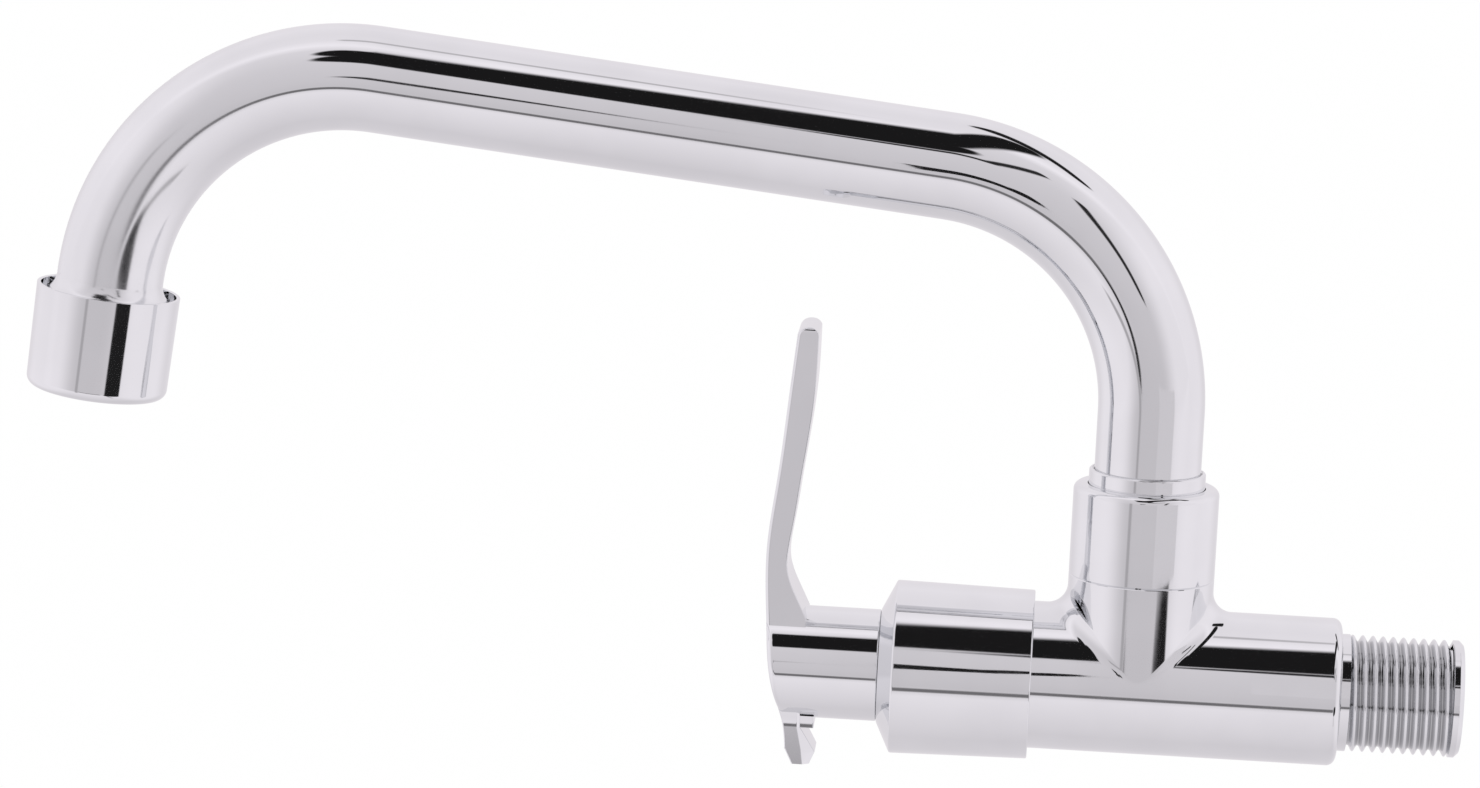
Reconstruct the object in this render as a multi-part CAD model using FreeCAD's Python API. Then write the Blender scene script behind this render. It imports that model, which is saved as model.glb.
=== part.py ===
import FreeCAD, Part
import math
import os

# Wall-mounted swivel-spout tap with a quarter-turn lever, in millimetres.
# The origin is on the inlet axis at the barrel's shoulder, where the inlet thread starts.
# +X points into the wall, +Z up, and the outlet hangs on the -X side.

V = FreeCAD.Vector

# ---------------------------------------------------------------- driving dimensions
# clearances
RUNNING = 0.05  # radial, shaft in a hole
SCREWED = 0.05  # radial, between two mated threads drawn as plain walls
APART = 0.30  # between a moving piece and a fixed one that it doesn't bear on
FACE_GAP = 0.02  # axial, between two lapped or sliding faces
ENTRY = 0.20  # radial, where a piece drops in loosely
PAST = 1.0  # how far a cut or a buried end reaches past the face it crosses
EDGE_BREAK = 0.4  # rounded edge of a turned piece

# inlet thread, G 1/2
THREAD_D = 20.955
THREAD_PITCH = 1.814
THREAD_ROOT_D = 18.631
THREAD_LENGTH = 21.8
NECK_BAND = 1.6
END_BAND = 1.8
END_CHAMFER = 0.8
CREST_DROP = 0.03  # the rounded crest stays this far inside the plain bands
CREST_ROUND = 0.22  # height of the crest's rounding
THREAD_HALF_ANGLE = 27.5
BAND_SLOPE = 0.3  # axial length of the slope between a band and the thread's root

# tee body
BARREL_D = 26.4
BARREL_LENGTH = 59.0
SHOULDER_ROUND = 1.6
BRANCH_OFFSET = 36.3  # from the shoulder to the branch's axis
BRANCH_SLIMMER = 0.4  # on the diameter, the branch and its nut against the barrel
BRANCH_D = BARREL_D - BRANCH_SLIMMER
BRANCH_RISE = 6.1  # the branch's top above the barrel's
BRANCH_HEIGHT = BARREL_D / 2 + BRANCH_RISE
BRANCH_FILLET = 3.8
INLET_BORE_D = 15.0
SEAT_DEPTH = 26.0  # from the shoulder to the seat
SEAT_WEB = 6.0
SEAT_BORE_D = 12.5
CHAMBER_D = 19.6
MOUTH_THREAD = 12.0
HEAD_THREAD_D = 19.79  # the headwork's thread, a plain wall at its pitch diameter
BRANCH_PORT_D = 13.0
SPIGOT_BORE_D = 17.0
SPIGOT_BORE_DEPTH = 14.2  # below the neck's top
NUT_WALL = 1.3  # round the neck's thread
NECK_D = BRANCH_D - 2 * NUT_WALL
NECK_HEIGHT = 7.7
NECK_ROUND = 0.5
SEAM_CHAMFER = 0.2

# collar nut
NUT_HEIGHT = 16.4
NUT_ROUND = 1.3

# spout; its diameters step down from the nut's thread
FLANGE_INSET = 0.1  # radial, the flange inside the nut's thread
FLANGE_D = NECK_D - 2 * FLANGE_INSET
FLANGE_STEP = 1.2  # radial, the flange outside the socket
SOCKET_D = FLANGE_D - 2 * FLANGE_STEP
SOCKET_WALL = 0.7
PIPE_D = SOCKET_D - 2 * SOCKET_WALL
PIPE_WALL = 1.0
BEND_R_WALL = 42.2  # the bend above the branch
BEND_R_OUTLET = 42.8  # the bend above the outlet
RISER_CORNER = 87.3  # height of the first bend's corner
RUN_LENGTH = 183.7  # corner to corner
RUN_SLOPE = 5.55  # degrees, rising towards the outlet
OUTLET_TILT = 5.8  # degrees, leaning out from the vertical
OUTLET_DROP = 44.65  # from the second corner to the aerator's rim

# tail bush and its washers
SOCKET_ABOVE_NUT = 2.7
FLANGE_THICK = 2.4
TAIL_BORE_D = 12.0
SPIGOT_LENGTH = 13.2
THRUST_WASHER = 0.8
GLIDE_RING = 1.0
O_RING_GROOVE = 2.4
SPOUT_O_RING = 1.7
SPOUT_O_RING_PITCH = 5.0
SPOUT_O_RING_DROP = 4.4  # from the flange to the upper ring

# trim cap
CAP_PLAY = 0.3  # radial, over the barrel
CAP_BORE_D = BARREL_D + 2 * CAP_PLAY
CAP_WALL = 1.65
CAP_MOUTH_D = CAP_BORE_D + 2 * CAP_WALL
CAP_SWELL = 0.8  # on the diameter, from the mouth to the cone
CAP_D = CAP_MOUTH_D + CAP_SWELL
CAP_LENGTH = 24.7
CAP_CONE = 2.6
CAP_OVERLAP = 4.0  # over the barrel
CAP_EDGE_ROUND = 0.5
CAP_MOUTH_ROUND = 0.3
CAP_WEB = 9.0
CONE_OVER_HUB = 0.2  # radial, the cone's small end over the hub
CAP_APERTURE_D = 18.0
CAP_O_RING = 1.2
CAP_O_RING_INSET = 1.3  # from the cap's mouth

# headwork
SLEEVE_D = 18.6
SLEEVE_BORE_D = 16.0
SEAL_PROUD = 1.2
HEX_CLEAR = 0.22  # radial, the hexagon's corners inside the cap
HEX_FLATS = math.sqrt(3) * (CAP_BORE_D / 2 - HEX_CLEAR)
HEX_LENGTH = 7.0
HEX_CORNER_ROUND = 1.0
COLLAR_D = 19.9
COLLAR_LENGTH = 10.0
WINDOW_WIDTH = 9.0
WINDOW_LENGTH = 7.8
WINDOW_CUT = 8.0  # height of the box that cuts a window
WINDOW_OVERLAP = 1.0  # over the moving disc
RELIEF_DEPTH = 0.5
SEAL_THICK = 2.2
MOUTH_RECESS = 1.6
HEAD_O_RING = 1.55

# ceramic discs
DISC_THICK = 3.2
PORT_INNER_R = 1.8
PORT_OUTER_R = 6.0
PORT_ANGLE = 80.0
KEY_WIDTH = 3.0
KEY_LENGTH = 12.5
KEY_DEPTH = 1.4
KEY_PLAY = 0.05

# spindle
FOOT_THICK = 3.6
SPINDLE_D = 10.0
SPINDLE_O_RING = 1.8
SPINDLE_O_RING_X = (11.0, 16.0)  # from the headwork's inner step
SPINDLE_GROOVE = 2.4
SLIP_WASHER = 1.2
CLIP_D = 13.0
CLIP_THICK = 1.0
CLIP_GROOVE_D = 8.4
CLIP_MOUTH = 6.7
SPLINE_D = 8.0
SPLINE_TEETH = 20
SPLINE_DEPTH = 0.45
SPLINE_CREST = (0.12, 0.38)  # shares of one tooth's turn
SPLINE_VALLEY = (0.62, 0.88)
SPLINE_START = 3.0  # outside the headwork's collar
SPLINE_LENGTH = 12.0

# handle
HUB_D = 20.1
HUB_LENGTH = 20.7
HUB_GAP = 0.5
HUB_REAR_RECESS = 2.0
HUB_REAR_RECESS_D = 16.0
HUB_EDGE_ROUND = 0.6
HUB_RIM_BEHIND = 5.0  # behind the lever's front plane, where the plain hub starts
HUB_RIM_ROUND = 1.2
SOCKET_BOTTOM_GAP = 0.4
SCREW_WEB = 3.8
SCREW_D = 4.0
SCREW_HEAD_D = 7.0
SCREW_HEAD_H = 2.6
SCREW_LENGTH = 12.0
SCREW_HOLE_SPARE = 1.5
SCREW_ROUND = 0.5
SCREW_WASHER = 0.8
SCREW_WASHER_D = 7.4
SCREW_DRIVE_FLATS = 3.0
SCREW_DRIVE_DEPTH = 1.6
PLUG_D = 9.0
PLUG_HOLLOW = 0.8
PLUG_WALL = 1.0
LEVER_REACH = 61.7
LEVER_TAIL = 17.9
BLADE_WIDTH = 12.4
BLADE_TIP_ROUND = 1.5
BLADE_ROOT_WIDER = 0.4  # each side at the hub, than at the tip
TAIL_WIDTH = 10.4
TAIL_TAPER = 0.9

# the lever's side outline: (distance behind its front plane, height)
# blade heights are shares of its height above the hub, tail heights shares of its length below the hub
BLADE_FRONT_LINE = ((3.85, 0.969), (2.9, 0.762), (1.5, 0.464), (0.25, 0.22))
HUB_FRONT_LINE = ((0.7, 9.4), (1.7, 0.0), (3.2, -6.4))
TAIL_FRONT_LINE = ((4.5, 0.083), (5.05, 0.643))
TAIL_FOOT_LINE = ((6.45, 1.0), (9.6, 1.0), (10.5, 0.733))
TAIL_BLOCK = (7.2, 10.1)  # front and back of the small block under the hub
TAIL_BLOCK_DROP = 1.2  # below the hub
TAIL_BLOCK_SINK = 1.0  # its buried top, inside the hub
BLADE_BACK_LINE = (
    (6.35, 0.044), (4.15, 0.155), (4.2, 0.222), (4.9, 0.319), (5.75, 0.457), (6.65, 0.595), (7.6, 0.79),
    (7.75, 0.977),
)
BLADE_ROOT_BEHIND = 8.0  # where the blade's back meets the hub's top
LEVER_TIP_MIDDLE = 6.3

# outlet ferrule and aerator; their diameters follow the pipe's
FERRULE_WALL = 1.5  # pipe to thread crest
OUTLET_THREAD_D = PIPE_D + 2 * FERRULE_WALL
FLARE_INSET = 0.3  # radial, inside the thread's crest
FLARE_D = OUTLET_THREAD_D - 2 * FLARE_INSET
FLARE_ABOVE_RIM = 2.0
FLARE_TOP_WALL = 0.15
FLARE_CORNER = 0.4  # below the rim
FLARE_ROUND = 3.0
FERRULE_BELOW_RIM = 8.0
FERRULE_STEP = 1.75  # radial, the stop inside the pipe's outside
FERRULE_BORE_D = PIPE_D - 2 * FERRULE_STEP
FERRULE_STOP = 2.0
CUP_WALL = 1.85
CUP_D = OUTLET_THREAD_D + 2 * CUP_WALL
CUP_TAPER = 0.5  # on the diameter
CUP_MOUTH_D = CUP_D - CUP_TAPER
CUP_LENGTH = 18.7
CUP_RIM_WALL = 0.7
CUP_RIM_DEPTH = 2.6
CUP_BOTTOM_ROUND = 1.8
CUP_LIP = 1.1
CUP_LIP_ROUND = 0.3
CUP_LIP_STEP = 1.5  # radial, the lip inside the thread
CUP_LIP_BORE_D = OUTLET_THREAD_D - 2 * CUP_LIP_STEP
SEAL_WASHER_THICK = 1.5
SEAL_WASHER_BORE_D = FERRULE_BORE_D
INSERT_FLANGE = 1.2
INSERT_STEP_IN = 0.8  # radial, from the flange's thread size to the sleeve
INSERT_WALL = 0.9
GRID_PITCH = 2.4
GRID_BAR = 0.6
GRID_DEPTH = 2.2
DIFFUSER_PLATE = 1.0
DIFFUSER_HOLES = 16
DIFFUSER_HOLE_D = 1.2
DIFFUSER_RING_INSET = 5.0  # radial, the holes' circle inside the thread
DIFFUSER_PCD = OUTLET_THREAD_D - 2 * DIFFUSER_RING_INSET
DIFFUSER_RIM_HEIGHT = 1.2
DIFFUSER_RIM_WALL = 0.8
SCREEN_THICK = 0.3
SCREEN_COUNT = 2
SCREEN_GAP = 0.7
SCREEN_PITCH = 1.5
SCREEN_WIRE = 0.35
SCREEN_RIM_WALL = 0.6

# ---------------------------------------------------------------- derived places
INLET = (V(0, 0, 0), V(1, 0, 0))
BRANCH_X = -BRANCH_OFFSET
BRANCH = (V(BRANCH_X, 0, 0), V(0, 0, 1))
MOUTH_X = -BARREL_LENGTH
SEAT_X = -SEAT_DEPTH

# discs, spindle foot and headwork, outwards from the seat
FIXED_DISC_X = SEAT_X - SEAL_THICK
MOVING_DISC_X = FIXED_DISC_X - DISC_THICK - FACE_GAP
FOOT_X = MOVING_DISC_X - DISC_THICK
SLIP_X = FOOT_X - FOOT_THICK
STEP_X = SLIP_X - SLIP_WASHER - RUNNING
SLEEVE_X = SEAT_X - SEAL_PROUD
THREAD_START_X = MOUTH_X + MOUTH_THREAD
HEX_END_X = MOUTH_X - HEX_LENGTH
COLLAR_END_X = HEX_END_X - COLLAR_LENGTH
CLIP_X = COLLAR_END_X - APART
SPLINE_X = COLLAR_END_X - SPLINE_START
SPINDLE_END_X = SPLINE_X - SPLINE_LENGTH

CAP_MOUTH_X = MOUTH_X + CAP_OVERLAP
CAP_O_RING_X = CAP_MOUTH_X - CAP_O_RING_INSET
CAP_CORNER_X = CAP_MOUTH_X - CAP_LENGTH
CAP_FRONT_X = CAP_CORNER_X - CAP_CONE
CAP_WEB_X = CAP_CORNER_X + CAP_WEB

HUB_REAR_X = CAP_FRONT_X - HUB_GAP
HUB_FRONT_X = HUB_REAR_X - HUB_LENGTH
SOCKET_END_X = SPINDLE_END_X - SOCKET_BOTTOM_GAP
SCREW_SEAT_X = SOCKET_END_X - SCREW_WEB
SCREW_HEAD_X = SCREW_SEAT_X - SCREW_WASHER
PLUG_SEAT_X = SCREW_HEAD_X - SCREW_HEAD_H - ENTRY * 2

NECK_TOP_Z = BRANCH_HEIGHT + NECK_HEIGHT
FLANGE_Z = NECK_TOP_Z + THRUST_WASHER
GLIDE_Z = FLANGE_Z + FLANGE_THICK
NUT_STEP_Z = GLIDE_Z + GLIDE_RING + RUNNING
NUT_TOP_Z = BRANCH_HEIGHT + NUT_HEIGHT
SOCKET_TOP_Z = NUT_TOP_Z + SOCKET_ABOVE_NUT
PIPE_START_Z = GLIDE_Z
SPIGOT_END_Z = FLANGE_Z - SPIGOT_LENGTH
UPPER_O_RING_Z = FLANGE_Z - SPOUT_O_RING_DROP
SPOUT_O_RING_Z = (UPPER_O_RING_Z, UPPER_O_RING_Z - SPOUT_O_RING_PITCH)

RUN_DIRECTION = V(-math.cos(math.radians(RUN_SLOPE)), 0, math.sin(math.radians(RUN_SLOPE)))
OUTLET_DIRECTION = V(-math.sin(math.radians(OUTLET_TILT)), 0, -math.cos(math.radians(OUTLET_TILT)))
FIRST_CORNER = V(BRANCH_X, 0, RISER_CORNER)
SECOND_CORNER = FIRST_CORNER + RUN_DIRECTION * RUN_LENGTH
RIM_CENTRE = SECOND_CORNER + OUTLET_DIRECTION * OUTLET_DROP
OUTLET = (RIM_CENTRE, OUTLET_DIRECTION)

# inside the aerator, stations downwards from the cup's rim
PIPE_END_S = FERRULE_BELOW_RIM - FERRULE_STOP
WASHER_S = FERRULE_BELOW_RIM
INSERT_S = WASHER_S + SEAL_WASHER_THICK
DIFFUSER_END_S = INSERT_S + DIFFUSER_PLATE + DIFFUSER_RIM_HEIGHT
SEAT_LIP_S = CUP_LENGTH - CUP_LIP


# ---------------------------------------------------------------- helpers
def corner_arc(before, corner, after, radius):
    """Where the arc that rounds a corner starts, its middle and where it ends."""
    back = (before - corner).normalize()
    ahead = (after - corner).normalize()
    half = back.getAngle(ahead) / 2
    reach = radius / math.tan(half)
    middle = (back + ahead).normalize()
    depth = radius / math.sin(half) - radius
    return corner + back * reach, corner + middle * depth, corner + ahead * reach


def outline(points):
    """Closed wire in the local XZ plane through (station, radius) corners.

    A third value rounds that corner with an arc of that radius.
    """
    corners = [V(p[1], 0, p[0]) for p in points]
    count = len(corners)
    stops = []
    for i, point in enumerate(points):
        if len(point) == 3:
            arc = corner_arc(corners[i - 1], corners[i], corners[(i + 1) % count], point[2])
            stops.append(arc)
        else:
            stops.append((corners[i],))
    edges = []
    for i, stop in enumerate(stops):
        if len(stop) == 3:
            edges.append(Part.Arc(*stop).toShape())
        start = stop[-1]
        end = stops[(i + 1) % count][0]
        if start.distanceToPoint(end) > 1e-7:
            edges.append(Part.makeLine(start, end))
    return Part.Wire(edges)


def turned(points, axis):
    """Solid of revolution from (station, radius) corners along an axis (base, direction)."""
    base, direction = axis
    solid = Part.Face(outline(points)).revolve(V(0, 0, 0), V(0, 0, 1), 360)
    solid.Placement = FreeCAD.Placement(base, FreeCAD.Rotation(V(0, 0, 1), direction))
    return solid


def tube(start, end, outer_d, inner_d, axis):
    """Plain ring or sleeve between two stations."""
    low, high = min(start, end), max(start, end)
    inner, outer = inner_d / 2, outer_d / 2
    return turned([(low, inner), (low, outer), (high, outer), (high, inner)], axis)


def rod(start, end, diameter, axis):
    """Plain cylinder between two stations."""
    base, direction = axis
    low, high = min(start, end), max(start, end)
    return Part.makeCylinder(diameter / 2, high - low, base + direction * low, direction)


def o_ring(station, outer_d, section, axis):
    """Round-section ring whose outside is outer_d."""
    base, direction = axis
    return Part.makeTorus(outer_d / 2 - section / 2, section / 2, base + direction * station, direction)


def across_box(x_from, x_to, width_y, height_z, z_middle=0.0):
    """Box along the inlet axis, centred on Y."""
    low, high = min(x_from, x_to), max(x_from, x_to)
    return Part.makeBox(high - low, width_y, height_z, V(low, -width_y / 2, z_middle - height_z / 2))


def splined(start, end, diameter, depth, play):
    """Shaft with straight teeth along the inlet axis, grown all round by play."""
    outer = diameter / 2 + play
    root = diameter / 2 - depth + play
    step = 360.0 / SPLINE_TEETH
    points = []
    corners = [(share, outer) for share in SPLINE_CREST] + [(share, root) for share in SPLINE_VALLEY]
    for tooth in range(SPLINE_TEETH):
        for share, radius in corners:
            angle = math.radians((tooth + share) * step)
            points.append(V(end, radius * math.cos(angle), radius * math.sin(angle)))
    face = Part.Face(Part.makePolygon(points + points[:1]))
    return face.extrude(V(start - end, 0, 0))


# ---------------------------------------------------------------- tee body and nut
def thread_ridge():
    """Helical ridge of the inlet thread, 55 degree flanks and a rounded crest.

    It starts inside the barrel and ends inside the plain end band.
    """
    crest = THREAD_D / 2 - CREST_DROP
    root = THREAD_ROOT_D / 2 - CREST_DROP * 4
    middle = (THREAD_D + THREAD_ROOT_D) / 4
    slope = math.tan(math.radians(THREAD_HALF_ANGLE))
    shoulder = crest - CREST_ROUND
    half_root = THREAD_PITCH / 4 + (middle - root) * slope
    half_crest = THREAD_PITCH / 4 - (shoulder - middle) * slope
    profile = Part.Wire([
        Part.makeLine(V(root, 0, -half_root), V(shoulder, 0, -half_crest)),
        Part.Arc(V(shoulder, 0, -half_crest), V(crest, 0, 0), V(shoulder, 0, half_crest)).toShape(),
        Part.makeLine(V(shoulder, 0, half_crest), V(root, 0, half_root)),
        Part.makeLine(V(root, 0, half_root), V(root, 0, -half_root)),
    ])
    helix = Part.makeHelix(THREAD_PITCH, THREAD_LENGTH + THREAD_PITCH, middle)
    ridge = Part.Wire(helix.Edges).makePipeShell([profile], True, True)
    ridge.Placement = FreeCAD.Placement(V(-THREAD_PITCH, 0, 0), FreeCAD.Rotation(V(0, 1, 0), 90))
    keep = rod(-2 * THREAD_PITCH, THREAD_LENGTH - END_BAND / 2, THREAD_D + 2, INLET)
    return ridge.common(keep)


def make_tee_body():
    """Brass body: inlet thread, barrel with seat and headwork thread, and the spout's branch."""
    barrel_r = BARREL_D / 2
    barrel = turned([(MOUTH_X, 0), (MOUTH_X, barrel_r), (0, barrel_r, SHOULDER_ROUND), (0, 0)], INLET)
    branch = rod(0, BRANCH_HEIGHT, BRANCH_D, BRANCH)
    body = barrel.fuse(branch)
    seam = [e for e in body.Edges if is_branch_joint(e)]
    body = body.makeFillet(BRANCH_FILLET, seam)
    neck_r = NECK_D / 2
    buried_z = BRANCH_HEIGHT - PAST
    top = [(buried_z, 0), (buried_z, neck_r), (NECK_TOP_Z, neck_r, NECK_ROUND), (NECK_TOP_Z, 0)]
    body = body.fuse(turned(top, BRANCH))
    body = inlet_spigot().fuse(body)
    body = body.cut(waterways())
    body = body.cut(seam_chamfer(-1))
    half = CAP_O_RING / 2 + RUNNING
    floor_d = CAP_BORE_D - 2 * CAP_O_RING
    groove = tube(CAP_O_RING_X - half, CAP_O_RING_X + half, BARREL_D + 2 * PAST, floor_d, INLET)
    return body.cut(groove)


def is_branch_joint(edge):
    """True for the curved seam where the branch meets the barrel."""
    box = edge.BoundBox
    near = abs(box.Center.x - BRANCH_X) < BRANCH_D
    return near and box.XLength > PAST and box.ZMin > RUNNING and box.ZMax < BRANCH_HEIGHT - PAST


def inlet_spigot():
    """Core of the inlet thread, its helical ridge and the plain bands at both ends."""
    major = THREAD_D / 2
    buried = THREAD_ROOT_D / 2 - ENTRY
    end = THREAD_LENGTH
    neck_start = -2 * PAST - SHOULDER_ROUND / 2
    neck_end = NECK_BAND + BAND_SLOPE
    tip_start = end - END_BAND - BAND_SLOPE
    core = rod(-PAST, end - END_BAND / 2, THREAD_ROOT_D, INLET)
    neck = turned([
        (neck_start, 0), (neck_start, major), (NECK_BAND, major), (neck_end, buried), (neck_end, 0),
    ], INLET)
    tip = turned([
        (tip_start, 0), (tip_start, buried), (end - END_BAND, major),
        (end - END_CHAMFER, major), (end, major - END_CHAMFER), (end, 0),
    ], INLET)
    return core.fuse(thread_ridge()).fuse(neck).fuse(tip)


def waterways():
    """Everything that is bored out of the tee body."""
    thread_r = HEAD_THREAD_D / 2 + SCREWED
    chamber_r = CHAMBER_D / 2
    inlet_r = INLET_BORE_D / 2
    along = turned([
        (THREAD_LENGTH + PAST, 0), (THREAD_LENGTH + PAST, inlet_r), (SEAT_X + SEAT_WEB, inlet_r),
        (SEAT_X + SEAT_WEB, SEAT_BORE_D / 2), (SEAT_X, SEAT_BORE_D / 2), (SEAT_X, chamber_r),
        (THREAD_START_X, chamber_r), (THREAD_START_X, thread_r), (MOUTH_X + MOUTH_RECESS, thread_r),
        (MOUTH_X + MOUTH_RECESS, recess_radius()), (MOUTH_X - PAST, recess_radius()), (MOUTH_X - PAST, 0),
    ], INLET)
    bore_floor = NECK_TOP_Z - SPIGOT_BORE_DEPTH
    up = turned([
        (0, 0), (0, BRANCH_PORT_D / 2), (bore_floor, BRANCH_PORT_D / 2),
        (bore_floor, SPIGOT_BORE_D / 2), (NECK_TOP_Z + PAST, SPIGOT_BORE_D / 2), (NECK_TOP_Z + PAST, 0),
    ], BRANCH)
    return along.fuse(up)


def recess_radius():
    """Radius of the recess in the barrel's mouth that holds the headwork's O-ring."""
    return HEAD_THREAD_D / 2 + HEAD_O_RING


def seam_chamfer(side):
    """Cutter for the edge of the branch (side -1) or of the nut (side 1) at the joint between them."""
    outer = BRANCH_D / 2
    far = BRANCH_HEIGHT + side * SEAM_CHAMFER
    return turned([
        (BRANCH_HEIGHT, outer - SEAM_CHAMFER), (BRANCH_HEIGHT, outer + PAST),
        (far + side * PAST, outer + PAST), (far, outer),
    ], BRANCH)


def make_spout_nut():
    """Collar nut that screws on the branch's neck and holds the tail bush's flange down."""
    outer = BRANCH_D / 2
    thread = NECK_D / 2 + SCREWED
    passage = SOCKET_D / 2 + APART
    nut = turned([
        (BRANCH_HEIGHT, thread), (BRANCH_HEIGHT, outer), (NUT_TOP_Z, outer, NUT_ROUND),
        (NUT_TOP_Z, passage), (NUT_STEP_Z, passage), (NUT_STEP_Z, thread),
    ], BRANCH)
    return nut.cut(seam_chamfer(1))


# ---------------------------------------------------------------- headwork
def make_seat_seal():
    """Rubber ring that seals the fixed disc against the seat."""
    return tube(SEAT_X, FIXED_DISC_X, SLEEVE_BORE_D - ENTRY, SEAT_BORE_D + ENTRY, INLET)


def disc_ports(start, end, turn, outer_r):
    """Two opposite sector openings through a disc, turned about the inlet axis."""
    ports = []
    depth = abs(end - start) + 2 * PAST
    for side in (0, 180):
        first = side + turn - PORT_ANGLE / 2
        outer = Part.makeCylinder(outer_r, depth, V(0, 0, 0), V(0, 0, 1), PORT_ANGLE)
        inner = Part.makeCylinder(PORT_INNER_R, depth)
        sector = outer.cut(inner)
        sector.rotate(V(0, 0, 0), V(0, 0, 1), first)
        sector.rotate(V(0, 0, 0), V(0, 1, 0), 90)
        sector.translate(V(min(start, end) - PAST, 0, 0))
        ports.append(sector)
    return ports[0].fuse(ports[1])


def make_fixed_disc():
    """Ceramic disc that stays put, with its ports left and right."""
    end = FIXED_DISC_X - DISC_THICK
    disc = rod(FIXED_DISC_X, end, SLEEVE_BORE_D - 2 * RUNNING, INLET)
    return disc.cut(disc_ports(FIXED_DISC_X, end, 90, PORT_OUTER_R))


def make_moving_disc():
    """Ceramic disc that turns with the spindle; its ports are open to the rim."""
    disc = rod(MOVING_DISC_X, FOOT_X, SLEEVE_BORE_D - 2 * APART, INLET)
    disc = disc.cut(disc_ports(MOVING_DISC_X, FOOT_X, 0, SLEEVE_BORE_D))
    slot_depth = KEY_DEPTH + KEY_PLAY
    slot = across_box(FOOT_X - PAST, FOOT_X + slot_depth, 2 * SLEEVE_BORE_D, KEY_WIDTH + 2 * KEY_PLAY)
    return disc.cut(slot)


def make_headwork_body():
    """Brass headwork: windowed sleeve, thread, hexagon and collar, bored for the spindle."""
    thread_r = HEAD_THREAD_D / 2
    relief_x = MOUTH_X + MOUTH_RECESS
    relief_r = thread_r - RELIEF_DEPTH
    sleeve_r = SLEEVE_D / 2
    start_x = THREAD_START_X - RELIEF_DEPTH
    body = turned([
        (SLEEVE_X, 0), (SLEEVE_X, sleeve_r), (start_x, sleeve_r), (start_x, thread_r, EDGE_BREAK / 2),
        (relief_x, thread_r), (relief_x, relief_r), (MOUTH_X, relief_r), (MOUTH_X, 0),
    ], INLET)
    body = body.fuse(hexagon()).fuse(rod(HEX_END_X, COLLAR_END_X, COLLAR_D, INLET))
    body = body.cut(rod(SLEEVE_X + PAST, STEP_X, SLEEVE_BORE_D, INLET))
    body = body.cut(rod(STEP_X + PAST, COLLAR_END_X - PAST, SPINDLE_D + 2 * RUNNING, INLET))
    window_x = MOVING_DISC_X + WINDOW_OVERLAP
    for side in (1, -1):
        middle = side * SLEEVE_D / 2
        body = body.cut(across_box(window_x, window_x - WINDOW_LENGTH, WINDOW_WIDTH, WINDOW_CUT, middle))
    return body.removeSplitter()


def hexagon():
    """Hexagon for the spanner, with its corners rounded by a turning."""
    corner = HEX_FLATS / math.sqrt(3)
    points = []
    for i in range(6):
        angle = math.radians(60 * i + 30)
        points.append(V(MOUTH_X, corner * math.sin(angle), corner * math.cos(angle)))
    prism = Part.Face(Part.makePolygon(points + points[:1])).extrude(V(-HEX_LENGTH, 0, 0))
    turning = turned([
        (MOUTH_X, 0), (MOUTH_X, corner), (HEX_END_X, corner, HEX_CORNER_ROUND), (HEX_END_X, 0),
    ], INLET)
    return prism.common(turning)


def make_headwork_o_ring():
    """O-ring in the mouth's recess, under the hexagon."""
    middle = MOUTH_X + MOUTH_RECESS / 2
    return o_ring(middle, 2 * recess_radius() - 2 * RUNNING, HEAD_O_RING, INLET)


def make_spindle():
    """Spindle: drive key, foot, shaft with two O-ring grooves, clip groove and splined head."""
    shaft_r = SPINDLE_D / 2
    foot = rod(FOOT_X, SLIP_X, SLEEVE_BORE_D - 4 * RUNNING, INLET)
    key = across_box(FOOT_X - PAST, FOOT_X + KEY_DEPTH, KEY_LENGTH, KEY_WIDTH)
    key = key.common(rod(FOOT_X - PAST, MOVING_DISC_X, SLEEVE_BORE_D - 2 * APART, INLET))
    spindle = foot.fuse(key).fuse(rod(SLIP_X, SPLINE_X, 2 * shaft_r, INLET))
    spindle = spindle.fuse(splined(SPLINE_X, SPINDLE_END_X, SPLINE_D, SPLINE_DEPTH, 0.0))
    for middle in spindle_groove_stations():
        floor_d = SPINDLE_D - 2 * SPINDLE_O_RING + 2 * RUNNING
        half = SPINDLE_GROOVE / 2
        groove = tube(middle - half, middle + half, SPINDLE_D + 2 * PAST, floor_d, INLET)
        spindle = spindle.cut(groove)
    clip_groove = tube(CLIP_X, CLIP_X - CLIP_THICK, SPINDLE_D + 2 * PAST, CLIP_GROOVE_D, INLET)
    hole_end = SCREW_HEAD_X + SCREW_LENGTH + SCREW_HOLE_SPARE
    screw_hole = rod(SPINDLE_END_X - PAST, hole_end, SCREW_D + 2 * SCREWED, INLET)
    return spindle.cut(clip_groove).cut(screw_hole)


def spindle_groove_stations():
    """Middles of the spindle's O-ring grooves."""
    return [STEP_X - distance for distance in SPINDLE_O_RING_X]


def make_spindle_o_rings():
    """Both spindle O-rings."""
    rings = []
    for middle in spindle_groove_stations():
        rings.append(o_ring(middle, SPINDLE_D, SPINDLE_O_RING - RUNNING, INLET))
    return Part.makeCompound(rings)


def make_slip_washer():
    """Low-friction washer between the spindle's foot and the headwork."""
    return tube(SLIP_X, SLIP_X - SLIP_WASHER, SLEEVE_BORE_D - 4 * RUNNING, SPINDLE_D + 2 * RUNNING, INLET)


def make_spindle_clip():
    """Open snap ring in the spindle's groove, just outside the collar."""
    ring = tube(CLIP_X, CLIP_X - CLIP_THICK, CLIP_D, CLIP_GROOVE_D, INLET)
    mouth = across_box(CLIP_X + PAST, CLIP_X - CLIP_THICK - PAST, CLIP_MOUTH, CLIP_D, -CLIP_D / 2)
    return ring.cut(mouth)


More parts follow.
